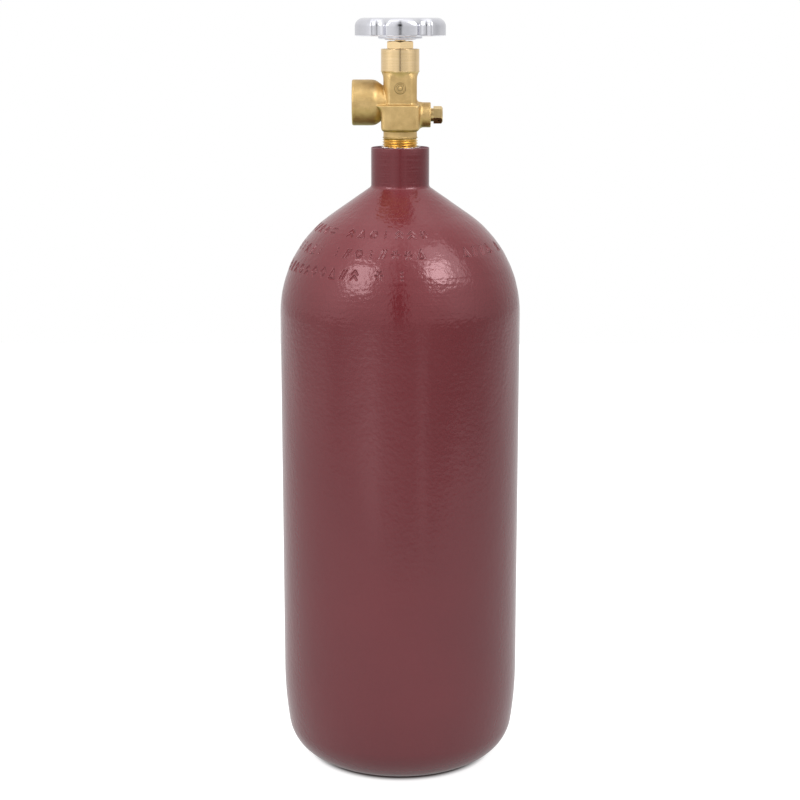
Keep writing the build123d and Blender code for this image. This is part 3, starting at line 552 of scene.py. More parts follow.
paint = paint_material()
overspray = overspray_material()
forged = forged_brass_material()
# the collar and outlet brass get painted shade, an olive tint, on surfaces that face down
turned = turned_material("turned_brass", (0.88, 0.64, 0.34), (0.95, 0.71, 0.41), 0.15, underside_shade=UNDERSIDE_SHADE_TINT)
turned_across = turned_material(
    "turned_brass_outlet", (0.66, 0.47, 0.20), (0.80, 0.60, 0.30), 0.30, "X", underside_shade=DEEP_UNDERSIDE_SHADE_TINT
)
thread_brass = turned_material("thread_brass", (0.72, 0.46, 0.13), (0.86, 0.60, 0.22), 0.22)
alloy = polished_alloy_material()
plated = turned_material("zinc_plated", (0.52, 0.53, 0.54), (0.66, 0.67, 0.68), 0.30)
copper = turned_material("copper_foil", (0.72, 0.36, 0.22), (0.84, 0.46, 0.30), 0.30, "X")
tape_white = soft_material("ptfe_tape", (0.70, 0.60, 0.62), (0.92, 0.88, 0.88), 0.55, 420.0)
nylon = soft_material("nylon", (0.74, 0.71, 0.62), (0.84, 0.82, 0.74), 0.5, 300.0)
rubber = soft_material("rubber", (0.010, 0.010, 0.010), (0.030, 0.030, 0.030), 0.6, 500.0)


# ================================================================== cylinder shell
def mark_strokes(kind):
    """Strokes of one generic punch mark, as lines in millimetres in a box about 5 wide and 7 high."""
    diamond = [((0, 3.6), (2.3, 0)), ((2.3, 0), (0, -3.6)), ((0, -3.6), (-2.3, 0)), ((-2.3, 0), (0, 3.6))]
    triangle = [((-2.4, -3.5), (2.4, -3.5)), ((2.4, -3.5), (0, 3.5)), ((0, 3.5), (-2.4, -3.5))]
    slants = [((-2.3, -3.4), (-0.1, 3.4)), ((0.1, -3.4), (2.3, 3.4))]
    dashes = [((-2.3, 1.9), (2.3, 1.9)), ((-2.3, -1.9), (2.3, -1.9))]
    chevrons = [((-2.3, 0.4), (0, 3.4)), ((0, 3.4), (2.3, 0.4))]
    chevrons += [((-2.3, -3.4), (0, -0.4)), ((0, -0.4), (2.3, -3.4))]
    corners = [(2.4 * math.cos(a), 3.3 * math.sin(a)) for a in np.radians(np.arange(0, 361, 60))]
    hexagon = list(zip(corners[:-1], corners[1:]))
    dots = [((0, 3.0), (0, 2.6)), ((0, 0.2), (0, -0.2)), ((0, -2.6), (0, -3.0))]
    star = [(corners[k], corners[k + 3]) for k in range(3)]
    return [diamond, slants, triangle, dashes, hexagon, chevrons, star, dots][kind]


def stamped_marks():
    """(azimuth, angle up the dome, strokes, offset) of every punch mark, in rows round the shoulder."""
    # height in millimetres, then first and last azimuth in degrees
    rows = [(407.0, 150, 294), (394.0, 146, 285), (394.0, 303, 352), (380.0, 150, 262)]
    lone_height = 380.0
    lone_azimuth = 271
    lone_kind = 7
    order = np.random.default_rng(11)
    marks = []
    for height, start, end in rows:
        polar = math.asin((height - SHOULDER_Z) / WALL_R)
        spacing = math.degrees(MARK_PITCH / (WALL_R * math.cos(polar)))
        for place in np.arange(start, end, spacing):
            if order.random() < MARK_SKIP:
                continue
            kind = int(order.integers(0, MARK_KINDS))
            wobble = order.normal(0, MARK_WOBBLE, 2)
            marks.append((math.radians(place), polar, mark_strokes(kind), wobble))
    polar = math.asin((lone_height - SHOULDER_Z) / WALL_R)
    marks.append((math.radians(lone_azimuth), polar, mark_strokes(lone_kind), (0, 0)))
    return marks


def stamp_depth(azimuth, polar):
    """How far each point of the dome is pressed in by the punch marks, in millimetres."""
    depth = np.zeros(azimuth.shape)
    for place, row, strokes, wobble in stamped_marks():
        across = (azimuth - place) * WALL_R * math.cos(row) + wobble[0]
        up = (polar - row) * WALL_R + wobble[1]
        near = (np.abs(across) < 5) & (np.abs(up) < 6.5)
        if not near.any():
            continue
        u = across[near]
        v = up[near]
        nearest = np.full(u.shape, 9.0)
        for (u0, v0), (u1, v1) in strokes:
            du = u1 - u0
            dv = v1 - v0
            share = np.clip(((u - u0) * du + (v - v0) * dv) / (du * du + dv * dv), 0, 1)
            nearest = np.minimum(nearest, np.hypot(u - u0 - share * du, v - v0 - share * dv))
        groove = np.clip(1 - nearest / GROOVE_HALF, 0, 1)
        lip = np.clip(1 - np.abs(nearest - LIP_PLACE) / LIP_HALF, 0, 1)
        pressed = np.maximum(depth[near], GROOVE_DEPTH * groove * (2 - groove))
        depth[near] = pressed - LIP_HEIGHT * lip * lip
    return depth


def shell_profile():
    """Outline of the shell as (radius, height) points, from under the foot, up the outside, down inside.

    Also the first and last row of the dome and the row at the outer edge of the neck's top.
    """
    knuckle_x = WALL_R - BLEND_R + (BLEND_R - KNUCKLE_R) * math.cos(BLEND_TURN)
    wall_bottom = KNUCKLE_R + (BLEND_R - KNUCKLE_R) * math.sin(BLEND_TURN)
    sphere_r = (DISH_R**2 + DISH_DEPTH**2) / (2 * DISH_DEPTH)
    dish_turn = math.asin(DISH_R / sphere_r)
    blend_x = NECK_R + NECK_BLEND_R
    blend_z = SHOULDER_Z + (WALL_R + NECK_BLEND_R - blend_x * math.cos(DOME_TURN)) / math.sin(DOME_TURN)
    up = math.pi / 2
    marked_from = math.radians(20)
    marked_to = math.radians(54.5)
    profile = arc((0, DISH_DEPTH - sphere_r), sphere_r, up - 0.01, up - dish_turn, 14)
    profile += [(DISH_R + FOOT_EDGE, 0.0), (knuckle_x - 1, 0.0)]
    profile += arc((knuckle_x, KNUCKLE_R), KNUCKLE_R, -up, -BLEND_TURN, 26)
    profile += arc((WALL_R - BLEND_R, wall_bottom), BLEND_R, -BLEND_TURN, 0, 10)[1:]
    profile += [(WALL_R, h) for h in np.linspace(wall_bottom, SHOULDER_Z, 18)[1:]]
    dome_start = len(profile) - 1
    # the rows are close together where the punch marks are
    profile += arc((0, SHOULDER_Z), WALL_R, 0, marked_from, 14)[1:]
    profile += arc((0, SHOULDER_Z), WALL_R, marked_from, marked_to, 160)[1:]
    dome_end = len(profile)
    cone_top_r = blend_x - NECK_BLEND_R * math.cos(DOME_TURN)
    cone_top_z = blend_z - NECK_BLEND_R * math.sin(DOME_TURN)
    cone_foot_r = WALL_R * math.cos(DOME_TURN)
    cone_foot_z = SHOULDER_Z + WALL_R * math.sin(DOME_TURN)
    for share in np.linspace(0, 1, 24):
        radius = cone_foot_r + share * (cone_top_r - cone_foot_r)
        profile.append((radius, cone_foot_z + share * (cone_top_z - cone_foot_z)))
    profile += arc((blend_x, blend_z), NECK_BLEND_R, math.pi + DOME_TURN, math.pi, 14)[1:]
    profile += [(NECK_R, h) for h in np.linspace(blend_z, NECK_TOP - NECK_BEVEL, 8)[1:]]
    profile += arc((NECK_R - NECK_BEVEL, NECK_TOP - NECK_BEVEL), NECK_BEVEL, 0, up, 6)[1:]
    neck_row = len(profile) - 1
    bore_top = STEM_TOP_R - (STEM_TOP - NECK_TOP) * TAPER + NECK_THREAD_GAP
    profile += [(bore_top + NECK_THREAD_EDGE, NECK_TOP), (bore_top, NECK_TOP - NECK_THREAD_EDGE)]
    profile += [(NECK_THREAD_FOOT_R, NECK_THREAD_FOOT_Z), (THROAT_R, NECK_THREAD_FOOT_Z)]
    profile += [(THROAT_R, THROAT_BOTTOM)]
    # the inside of the wall and of the base, which nothing shows
    profile += [(31.2, 423.0), (54.2, 406.6), (70.0, 389.0), (80.5, 367.0), (84.3, 342.0)]
    profile += [(84.3, wall_bottom), (82.6, 45.0), (78.7, 27.2), (69.0, 11.5), (55.2, 7.0)]
    profile += [(45.0, 8.0), (25.0, 16.2), (1.1, 19.0)]
    return np.array(profile), dome_start, dome_end, neck_row


def shoulder_ripple(azimuth, height):
    """Low ripples of the spun shoulder, fading out at the wall and at the neck, in millimetres."""
    fade = np.clip((height - SHOULDER_Z) / 25, 0, 1) * np.clip((434 - height) / 12, 0, 1)
    ripple = 0.035 * np.sin(height * 0.62 + 1.3 * np.sin(2 * azimuth))
    ripple += 0.015 * np.sin(height * 1.27 + 3 * azimuth + 0.8)
    ripple += 0.05 * np.sin(7 * azimuth + height * 0.31)
    return ripple * fade


def build_shell():
    """The steel shell: one closed turned surface, stamped and rippled on the shoulder."""
    outline, dome_start, dome_end, neck_row = shell_profile()
    # the columns are close together where the punch marks are
    fine = np.radians(np.arange(140, 356, 0.31))
    coarse = np.radians(np.linspace(356, 500, 74))[1:-1]
    turn = np.concatenate([fine, coarse])
    rows = len(outline)
    columns = len(turn)
    radius = np.repeat(outline[:, 0][:, None], columns, 1)
    height = np.repeat(outline[:, 1][:, None], columns, 1)
    azimuth = np.repeat(turn[None, :], rows, 0)
    dome = slice(dome_start, dome_end)
    polar = np.arctan2(height[dome] - SHOULDER_Z, radius[dome])
    press = stamp_depth(azimuth[dome] % (2 * math.pi), polar)
    radius[dome] -= press * np.cos(polar)
    height[dome] -= press * np.sin(polar)
    upper = slice(dome_start, dome_end + 30)
    radius[upper] += shoulder_ripple(azimuth[upper], height[upper])
    points = np.stack([radius * np.cos(azimuth), radius * np.sin(azimuth), height], -1).reshape(-1, 3)
    faces = ring_faces(rows, columns, False).tolist()
    faces.append(list(range(columns))[::-1])
    faces.append([(rows - 1) * columns + k for k in range(columns)])
    shell = new_piece("shell_visual", points, faces, "tank", ["cylinder_shell"], paint)
    # the machined top of the neck carries only thin, matt overspray
    shell.data.materials.append(overspray)
    for face in range(neck_row * columns, (neck_row + 2) * columns):
        shell.data.polygons[face].material_index = 1


# ================================================================== valve body
def climb(z, start, end, most=1.0):
    """How far z has come from start to end, from 0 to most."""
    return np.clip((z - start) / (end - start), 0, most)


def column_field(x, y, z, radial):
    """The column: square with cut corners, drawn in to a round top that flares out to the collar."""
    square = smooth_max(np.abs(x) - COLUMN_HALF, np.abs(y) - COLUMN_HALF, 0.8)
    corner = (np.abs(x) + np.abs(y)) / math.sqrt(2) - (2 * COLUMN_HALF - COLUMN_CHAMFER) / math.sqrt(2)
    column = smooth_max(square, corner, 1.3)
    drawn_in = climb(z, COLUMN_CLIMB_Z, COLLAR_BOTTOM)
    column = smooth_max(column, radial - (15.1 - 1.7 * drawn_in * drawn_in), 1.0)
    column = np.maximum(column, np.maximum(COLUMN_BOTTOM - z, z - COLLAR_BOTTOM - 1))
    flared = climb(z, COLUMN_FLARE_Z, COLLAR_BOTTOM, 1.2)
    flare = np.maximum(radial - (11.9 + 1.75 * flared**2), np.maximum(505 - z, z - COLLAR_BOTTOM - 1))
    return smooth_min(column, flare, 0.5)


def block_field(x, y, z):
    """The spanner block; its outlet side flares out at the top to meet the boss."""
    flared = climb(z, BLOCK_FLARE_Z, BLOCK_TOP)
    left = -x - BLOCK_HALF_X - BLOCK_FLARE * flared**3
    sides = smooth_max(np.maximum(left, x - BLOCK_HALF_X), np.abs(y) - BLOCK_HALF_Y, 3.6)
    block = smooth_max(sides, BLOCK_BOTTOM - z, 3.2)
    return smooth_max(block, z - BLOCK_TOP, 1.3)


def boss_field(x, reach):
    """The outlet boss: a cylinder that narrows as a cone into the column."""
    cone = (reach - BOSS_R) * math.cos(BOSS_SLOPE) + (x - BOSS_CONE_X) * math.sin(BOSS_SLOPE)
    boss = smooth_max(reach - BOSS_R, cone, 1.6)
    boss = smooth_max(boss, OUTLET_END - x, 1.2)
    return np.maximum(boss, x + 2)


def forging_field(x, y, z):
    """Signed distance, roughly, to the forged part of the valve body; negative inside."""
    radial = np.sqrt(x * x + y * y)
    reach = np.sqrt(y * y + (z - OUTLET_Z) ** 2)
    span = np.sqrt(y * y + (z - SAFETY_Z) ** 2)
    shape = smooth_min(column_field(x, y, z, radial), block_field(x, y, z), 1.5)
    shape = smooth_min(shape, boss_field(x, reach), 0.7)
    safety = smooth_max(span - SAFETY_BOSS_R, x - SAFETY_END, 0.7)
    shape = smooth_min(shape, np.maximum(safety, 4 - x), 3.4)
    # round neck over the inlet thread, with a small lip
    neck = np.maximum(radial - ROUND_NECK_R, np.maximum(STEM_TOP - z, z - ROUND_NECK_TOP))
    shape = smooth_min(shape, neck, 0.9)
    lip = smooth_max(radial - ROUND_NECK_LIP_R, np.abs(z - STEM_TOP - 0.35) - 0.35, 0.4)
    shape = np.minimum(shape, lip)
    # faint unevenness left by the dies
    shape = shape + 0.035 * np.sin(x * 0.9 + 1.0) * np.sin(y * 0.8) * np.sin(z * 0.7 + 0.4)
    # bores: outlet with its nipple seat and passage, spindle, safety plug
    bore = np.maximum(reach - OUTLET_BORE_R - 0.35, x - BORE_END_X)
    cone = (reach - NIPPLE_SEAT_R) * 0.78 + (x - BORE_END_X) * 0.62
    seat_cone = np.maximum(cone, np.abs(x + 16.5) - 3.5)
    passage = np.maximum(reach - PASSAGE_R, x + 6)
    shape = np.maximum(shape, -np.minimum(np.minimum(bore, seat_cone), passage))
    shape = np.maximum(shape, -np.maximum(radial - SPINDLE_BORE_R, SPINDLE_BORE_FLOOR - z))
    return np.maximum(shape, -np.maximum(span - SAFETY_HOLE_R, SAFETY_HOLE_X - x))


def build_valve():
    """Valve body: forged mesh, turned collar, threads and a generic raised mark."""
    low = (OUTLET_END - 0.5, -17.5, STEM_TOP - 0.5)
    high = (SAFETY_END + 0.5, 17.5, COLLAR_BOTTOM + 1.5)
    points, quads = surface_of(forging_field, low, high, 0.4)
    new_piece("valve_forging", points, quads, "tank", ["valve_body"], forged)
    top = COLLAR_TOP
    # up the bore, over the top, and down the outside with a row close to each edge
    collar = [(10.45, COLLAR_FLOOR), (10.45, top - 0.3), (10.75, top)]
    collar += [(COLLAR_R - 0.55, top), (COLLAR_R - 0.15, top - 0.15)]
    collar += [(COLLAR_R, top - h) for h in (0.5, 0.62, 0.75)]
    collar += [(COLLAR_R, COLLAR_BOTTOM + h) for h in (0.7, 0.57, 0.45)]
    collar += [(COLLAR_R - 0.12, COLLAR_BOTTOM + 0.15), (COLLAR_R - 0.5, COLLAR_BOTTOM)]
    collar += [(12.0, COLLAR_BOTTOM - 0.1), (11.4, COLLAR_FLOOR)]
    lathe("valve_collar", collar[::-1], "tank", [], turned)
    build_inlet_thread()
    build_outlet_thread()
    build_emblem()


def thread_height(phase):
    """Height of a 60 degree thread form above its root, from 0 to 1, with flat crest and root."""
    wave = np.abs(((phase % 1.0) - 0.5) * 2)
    return np.clip((0.93 - wave) / 0.80, 0, 1)


def build_inlet_thread():
    """The tapered inlet thread, cut as a helix, and the bored stem below it."""
    columns = 144
    turn = full_turn(columns)
    heights = np.arange(INLET_THREAD_START, STEM_TOP + 0.2, 0.11)
    height = np.repeat(heights[:, None], columns, 1)
    azimuth = np.repeat(turn[None, :], len(heights), 0)
    crest = STEM_TOP_R - (STEM_TOP - height) * TAPER
    form = thread_height(height / THREAD_PITCH - azimuth / (2 * math.pi))
    fade = np.clip((STEM_TOP - 0.2 - height) / 0.9, 0, 1)
    radius = crest - INLET_THREAD_DEPTH + INLET_THREAD_DEPTH * form * fade - 0.15 * (1 - fade)
    radius = np.minimum(radius, crest)
    rows = [np.stack([radius * np.cos(azimuth), radius * np.sin(azimuth), height], -1)]
    inside = [(STEM_BORE_R, STEM_TOP + 0.2), (STEM_BORE_R, STEM_BOTTOM)]
    below = [(11.2, STEM_BOTTOM), (11.9, STEM_BOTTOM + 1)]
    for ring_r, level in inside + below:
        ring = [ring_r * np.cos(turn), ring_r * np.sin(turn), np.full(columns, level)]
        rows.append(np.stack(ring, -1)[None])
    grid = np.concatenate(rows)
    faces = ring_faces(len(grid), columns, True)
    new_piece("inlet_thread", grid.reshape(-1, 3), faces, "tank", [], thread_brass)


def build_outlet_thread():
    """The outlet's internal thread as a sleeve let into the boss."""
    columns = 144
    turn = full_turn(columns)
    mouth = OUTLET_END + 0.25
    places = np.arange(mouth, BORE_END_X, 0.12)
    place = np.repeat(places[:, None], columns, 1)
    azimuth = np.repeat(turn[None, :], len(places), 0)
    form = thread_height(place / THREAD_PITCH + azimuth / (2 * math.pi))
    lead = np.clip((place - OUTLET_END - 0.2) / 1.5, 0, 1)
    radius = OUTLET_BORE_R + 0.05 - OUTLET_THREAD_DEPTH * form * lead
    inner = np.stack([place, radius * np.cos(azimuth), radius * np.sin(azimuth) + OUTLET_Z], -1)
    across = OUTLET_SLEEVE_R * np.cos(turn)
    up = OUTLET_SLEEVE_R * np.sin(turn) + OUTLET_Z
    outer = [np.stack([np.full(columns, x), across, up], -1) for x in (BORE_END_X, mouth)]
    grid = np.concatenate([inner, np.array(outer)])
    faces = ring_faces(len(grid), columns, True)[:, ::-1]
    new_piece("outlet_thread", grid.reshape(-1, 3), faces, "tank", [], turned_across)


def build_emblem():
    """A plain raised ring round a small diamond on the front of the column."""
    columns = 72
    turn = full_turn(columns)
    face = -COLUMN_HALF + 0.12
    section = [(3.05, 0.0), (3.15, 0.30), (3.35, 0.46), (3.6, 0.46), (3.8, 0.30), (3.9, 0.0)]
    grid = []
    for ring_r, proud in section:
        ring = [ring_r * np.cos(turn), np.full(columns, face - proud), EMBLEM_Z + ring_r * np.sin(turn)]
        grid.append(np.stack(ring, -1))
    faces = ring_faces(len(section), columns, True)
    new_piece("column_mark_ring", np.array(grid).reshape(-1, 3), faces, "tank", [], forged)
    levels = [(1.75, 0.0), (1.55, 0.34), (1.15, 0.46)]
    points = []
    for size, proud in levels:
        for a in range(4):
            turn_a = a * math.pi / 2
            points.append((size * math.cos(turn_a), face - proud, EMBLEM_Z + size * math.sin(turn_a)))
    quads = ring_faces(3, 4, False).tolist() + [[3, 2, 1, 0], [8, 9, 10, 11]]
    new_piece("column_mark_diamond", points, quads, "tank", [], forged, smooth=False)


# ================================================================== handwheel
def wheel_field(x, y, z):
    """Signed distance, roughly, to the lobed handwheel; negative inside."""
    radial = np.sqrt(x * x + y * y)
    pitch = 2 * math.pi / LOBES
    azimuth = np.arctan2(y, x) - LOBE_TURN
    folded = (azimuth + pitch / 2) % pitch - pitch / 2
    valley = SCALLOP_R - np.hypot(radial * np.cos(folded) - SCALLOP_CENTRE_R, radial * np.sin(folded))
    outline = smooth_max(radial - WHEEL_R, valley, 1.6)
    over = z - (WHEEL_TOP - CROWN_R)
    inset = outline + CROWN_R
    rounded = np.hypot(np.maximum(inset, 0), np.maximum(over, 0))
    rim = np.minimum(np.maximum(inset, over), 0) + rounded - CROWN_R
    rim = smooth_max(rim, RIM_BOTTOM - z, 0.7)
    # shallow dish in the crown and six cored pockets underneath, with a rib under each valley
    dished = np.clip((radial - CROWN_DISH_R) / CROWN_DISH_RISE, 0, 1)
    dish = z - (WHEEL_TOP - CROWN_DISH + CROWN_DISH * dished**2)
    rim = smooth_max(rim, dish, 0.8)
    rib = np.abs(radial * np.sin(folded)) - RIB_HALF
    pocket = smooth_max(np.abs(radial - POCKET_R) - POCKET_HALF, z - (RIM_BOTTOM + POCKET_DEPTH), 1.5)
    pocket = smooth_max(pocket, -rib, 1.5)
    rim = smooth_max(rim, -pocket, 0.8)
    # hub and, under it, a lower step; a recess for the nut and a square hole for the spindle
    hub = smooth_max(radial - HUB_R, WHEEL_FOOT + HUB_STEP - z, 0.7)
    hub = np.maximum(hub, z - (RIM_BOTTOM + HUB_OVERLAP))
    step = smooth_max(radial - HUB_STEP_R, WHEEL_FOOT - z, 0.5)
    step = np.maximum(step, z - (RIM_BOTTOM + HUB_OVERLAP))
    wheel = smooth_min(smooth_min(rim, hub, 0.5), step, 0.3)
    recess = smooth_max(radial - RECESS_R, RECESS_FLOOR - z, 1.2)
    hole = np.maximum(np.abs(x) - SQUARE_HALF, np.abs(y) - SQUARE_HALF)
    return smooth_max(wheel, -np.minimum(recess, hole), 0.4)


def build_wheel():
    """The polished six-lobed handwheel."""
    low = (-WHEEL_R - 0.5, -WHEEL_R - 0.5, WHEEL_FOOT - 0.3)
    high = (WHEEL_R + 0.5, WHEEL_R + 0.5, WHEEL_TOP + 0.3)
    points, quads = surface_of(wheel_field, low, high, 0.38)
    new_piece("handwheel_visual", points, quads, "wheel", ["handwheel"], alloy)


# ================================================================== sealing tape
def build_tape():
    """The tape between thread and neck, with a torn edge standing out over the neck's top."""
    draw = np.random.default_rng(5)
    columns = 360
    turn = full_turn(columns)
    rough = draw.normal(0, 1, columns)
    kernel = np.array([1, 2, 3, 2, 1]) / 9
    fringe = np.convolve(np.tile(rough, 3), kernel, "same")[columns : 2 * columns]
    flap = np.clip(0.9 + 1.3 * fringe + 0.7 * np.sin(3 * turn + 0.7) + 0.5 * np.sin(2 * turn), 0.12, 3.4)
    lift = np.clip(0.25 + 0.35 * np.roll(fringe, 5), 0.08, 0.9)
    base = STEM_TOP_R - (STEM_TOP - NECK_TOP) * TAPER
    rows = [
        (np.full(columns, TAPE_FOOT_R), np.full(columns, TAPE_FOOT_Z)),
        (np.full(columns, base + 0.05), np.full(columns, NECK_TOP + 0.05)),
        (base + 0.2 + 0.5 * flap, NECK_TOP + 0.12 + 0.7 * lift),
        (base + 0.2 + flap, NECK_TOP + 0.10 + lift),
        (base + 0.15 + flap, NECK_TOP + 0.02 + 0.6 * lift),
        (base + 0.25 + 0.5 * flap, NECK_TOP + 0.02 + 0.3 * lift),
        (np.full(columns, base + 0.27), np.full(columns, NECK_TOP - 0.3)),
        (np.full(columns, TAPE_FOOT_OUTER_R), np.full(columns, TAPE_FOOT_Z)),
    ]
    grid = [np.stack([r * np.cos(turn), r * np.sin(turn), h], -1) for r, h in rows]
    faces = ring_faces(len(grid), columns, True)[:, ::-1]
    points = np.array(grid).reshape(-1, 3)
    new_piece("tape_visual", points, faces, "tank", ["thread_seal_tape"], tape_white)


# ================================================================== carried-over CAD pieces
def finish_cad(node, material):
    """Give a CAD node its finished material."""
    piece = frame["nodes"][node]
    piece.data.materials.clear()
    piece.data.materials.append(material)


cad_finishes = {
    "gland_nut": turned,
    "upper_spindle": turned,
    "lower_spindle": turned,
    "seat_retainer": turned,
    "safety_plug": turned_across,
    "rupture_disc": copper,
    "safety_gasket": tape_white,
    "gland_gasket": tape_white,
    "spindle_backup_ring": tape_white,
    "spindle_o_ring": rubber,
    "upper_thrust_washer": nylon,
    "lower_thrust_washer": nylon,
    "seat_disc": nylon,
    "handwheel_spring": plated,
    "handwheel_washer": plated,
    "handwheel_nut": plated,
}


# ================================================================== studio
def build_camera():
    """Camera a little above the handwheel, looking slightly down at the cylinder."""
    camera = bpy.data.objects.new("camera", bpy.data.cameras.new("camera"))
    camera.data.lens = 83.8
    camera.data.sensor_width = 36
    camera.data.shift_x = -0.0002
    camera.location = (0, -1.371, 0.560)
    camera.rotation_euler = (math.radians(90 - 11.73), 0, 0)
    bpy.context.scene.collection.objects.link(camera)
    bpy.context.scene.camera = camera


def soft_box(name, place, aim, width, height, power, mirrored=True):
    """A large rectangular light that the camera doesn't see; it may be left out of reflections."""
    light = bpy.data.lights.new(name, "AREA")
    light.shape = "RECTANGLE"
    light.size = width
    light.size_y = height
    light.energy = power
    lamp = bpy.data.objects.new(name, light)
    lamp.location = place
    lamp.rotation_euler = (Vector(aim) - Vector(place)).to_track_quat("-Z", "Y").to_euler()
    lamp.visible_camera = False
    lamp.visible_glossy = mirrored
    bpy.context.scene.collection.objects.link(lamp)


def ramp_node(tree, value, stops):
    """A colour ramp read as a number: stops are (position, value) pairs."""
    ramp = tree.nodes.new("ShaderNodeValToRGB")
    tree.links.new(value, ramp.inputs["Fac"])
    ramp.color_ramp.interpolation = "EASE"
    while len(ramp.color_ramp.elements) < len(stops):
        ramp.color_ramp.elements.new(0.5)
    for element, (position, level) in zip(ramp.color_ramp.elements, stops):
        element.position = position
        element.color = (level, level, level, 1)
    return ramp.outputs["Color"]


def math_node(tree, operation, first, second=0.0):
    """One maths node; each input is a socket or a number."""
    node = tree.nodes.new("ShaderNodeMath")
    node.operation = operation
    for place, value in enumerate((first, second)):
        if isinstance(value, bpy.types.NodeSocket):
            tree.links.new(value, node.inputs[place])
        else:
            node.inputs[place].default_value = value
    return node.outputs[0]


def bearing_ramp(tree, turn, stops):
    """A ramp over bearings in degrees from straight ahead of the cylinder, negative to the left."""
    return ramp_node(tree, turn, [(0.5 + bearing / 360, level) for bearing, level in stops])


def build_surround():
    """White surround with a narrow dark gap in front and less light from below."""
    world = bpy.data.worlds.new("surround")
    world.use_nodes = True
    bpy.context.scene.world = world
    tree = world.node_tree
    direction = tree.nodes.new("ShaderNodeTexCoord").outputs["Generated"]
    split = tree.nodes.new("ShaderNodeSeparateXYZ")
    tree.links.new(direction, split.inputs[0])
    x, y, z = split.outputs
    towards = math_node(tree, "MULTIPLY", y, -1.0)
    bearing = math_node(tree, "ARCTAN2", x, towards)
    turn = math_node(tree, "DIVIDE", bearing, math.tau)
    turn = math_node(tree, "ADD", turn, 0.5)
    panels = [(-180, 0.86), (-125, 0.80), (-103, 0.84), (-85, 0.97), (-70, 1.18), (-56, 1.15)]
    panels += [(-43, 0.97), (-30, 0.94), (-15, 0.90), (-6, 0.74), (6, 0.74), (18, 0.76), (30, 0.84)]
    panels += [(43, 0.93), (56, 1.08), (70, 0.95), (85, 0.77), (103, 0.62), (125, 0.74), (180, 0.86)]
    around = bearing_ramp(tree, turn, panels)
    half_z = math_node(tree, "MULTIPLY", z, 0.5)
    rise = math_node(tree, "ADD", half_z, 0.5)
    above = ramp_node(tree, rise, [(0.50, 0.95), (0.70, 1.08), (0.90, 1.15), (0.96, 1.50), (1.0, 1.50)])
    # below the table's edge the room is dimmer, more so on the right
    low = [(-180, 0.9), (-130, 0.82), (-105, 0.70), (-80, 0.70), (-62, 0.55), (-50, 0.66)]
    low += [(-26, 0.84), (-14, 0.58), (0, 0.48), (14, 0.42), (21, 0.66), (28, 0.38)]
    low += [(57, 0.32), (79, 0.44), (105, 0.64), (130, 0.82), (180, 0.9)]
    below = bearing_ramp(tree, turn, low)
    # and brighter again further down
    deeper = ramp_node(tree, rise, [(0.35, 1.8), (0.43, 1.0), (0.455, 0.80)])
    share = ramp_node(tree, rise, [(0.462, 0.0), (0.480, 1.0)])
    mixed = tree.nodes.new("ShaderNodeMix")
    tree.links.new(share, mixed.inputs["Factor"])
    tree.links.new(math_node(tree, "MULTIPLY", below, deeper), mixed.inputs["A"])
    tree.links.new(math_node(tree, "MULTIPLY", around, above), mixed.inputs["B"])
    # a dark slit straight ahead: grey and narrow at eye level, black and wider above it, narrow on top
    narrow = bearing_ramp(tree, turn, [(-5, 1), (-2, 0.3), (2, 0.3), (5, 1)])
    wide = bearing_ramp(tree, turn, [(-8, 1), (-4, 0), (3, 0), (7, 1)])
    widening = ramp_node(tree, rise, [(0.52, 0.0), (0.56, 1.0), (0.70, 1.0), (0.82, 0.0)])
    slit = tree.nodes.new("ShaderNodeMix")
    tree.links.new(widening, slit.inputs["Factor"])
    tree.links.new(narrow, slit.inputs["A"])
    tree.links.new(wide, slit.inputs["B"])
    below_slit = ramp_node(tree, rise, [(0.450, 1.0), (0.460, 0.0)])
    opening = math_node(tree, "MAXIMUM", slit.outputs["Result"], below_slit)
    level = math_node(tree, "MULTIPLY", mixed.outputs["Result"], opening)
    # matt surfaces get a little less of it than glossy ones; the camera sees plain white
    path = tree.nodes.new("ShaderNodeLightPath")
    held_back = math_node(tree, "MULTIPLY", path.outputs["Is Diffuse Ray"], 0.22)
    fill = math_node(tree, "SUBTRACT", 1.0, held_back)
    lit = math_node(tree, "MULTIPLY", level, fill)
    strength = math_node(tree, "MAXIMUM", lit, path.outputs["Is Camera Ray"])
    background = tree.nodes["Background"]
    background.inputs["Color"].default_value = (1, 1, 1, 1)
    tree.links.new(strength, background.inputs["Strength"])


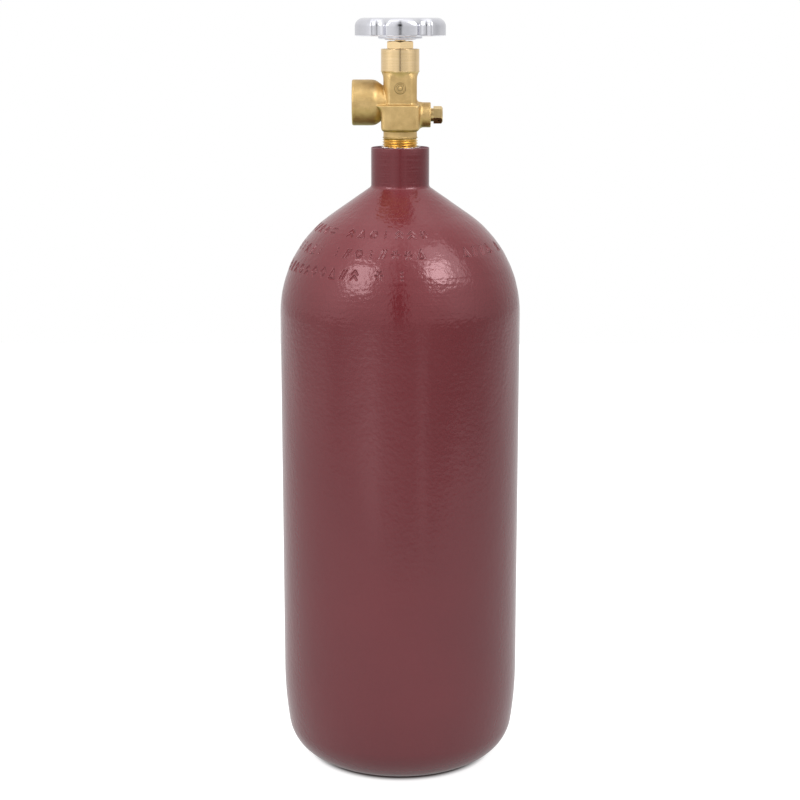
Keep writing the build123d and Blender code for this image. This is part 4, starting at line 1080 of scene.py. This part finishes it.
def build_floor():
    """A pale table that ends in front of the cylinder; it glows for the camera and in reflections."""
    mesh = bpy.data.meshes.new("floor")
    side = 1.1
    front = -0.75
    back = 1.8
    corners = [(-side, front, 0), (side, front, 0), (side, back, 0), (-side, back, 0)]
    mesh.from_pydata(corners, [], [(0, 1, 2, 3)])
    floor = bpy.data.objects.new("floor", mesh)
    bpy.context.scene.collection.objects.link(floor)
    material, shader, add, link = node_material("pale_floor")
    place = add("ShaderNodeTexCoord").outputs["Object"]
    cloud = noise(add, place, 3.0, 2.0)
    tone = ranged(add, cloud, 0.40, 0.44)
    link(tone, shader, "Base Color")
    path = add("ShaderNodeLightPath")
    # no glow where the foot meets the floor, so that a thin contact shadow is left
    flat = add("ShaderNodeVectorMath", {0: place, 1: (1, 1, 0)}, operation="MULTIPLY")
    away = add("ShaderNodeVectorMath", {0: flat.outputs["Vector"]}, operation="LENGTH")
    glow_size = ranged(add, away.outputs["Value"], 0.0, 0.85, 0.064, 0.070)
    seen = add("ShaderNodeMath", {0: path.outputs["Is Camera Ray"]}, operation="MULTIPLY")
    link(glow_size, seen, 1)
    shine = add("ShaderNodeMath", {0: path.outputs["Is Glossy Ray"], 1: 0.38}, operation="MULTIPLY")
    glow = add("ShaderNodeMath", {0: seen.outputs[0], 1: shine.outputs[0]}, operation="ADD")
    shader.inputs["Emission Color"].default_value = (1, 1, 1, 1)
    link(glow.outputs[0], shader, "Emission Strength")
    shader.inputs["Roughness"].default_value = 0.7
    mesh.materials.append(material)


def build_studio():
    """White surround, pale floor, soft boxes high on both sides and a fill over the front."""
    bpy.context.scene.view_settings.view_transform = "Standard"
    build_surround()
    build_floor()
    shoulder = (0, 0, 0.36)
    upper_shoulder = (0, 0, 0.40)
    soft_box("left_box", (-0.70, -0.70, 1.05), shoulder, 0.48, 0.54, 3.0)
    soft_box("right_box", (0.65, -0.63, 1.12), shoulder, 0.44, 0.38, 2.5)
    soft_box("right_glow", (0.66, -0.42, 1.18), shoulder, 0.72, 0.74, 2.2)
    soft_box("front_fill", (-0.24, -0.60, 1.15), upper_shoulder, 0.60, 0.60, 5.9, mirrored=False)


build_shell()
build_valve()
build_wheel()
build_tape()
for cad_node, cad_material in cad_finishes.items():
    finish_cad(cad_node, cad_material)
build_camera()
build_studio()
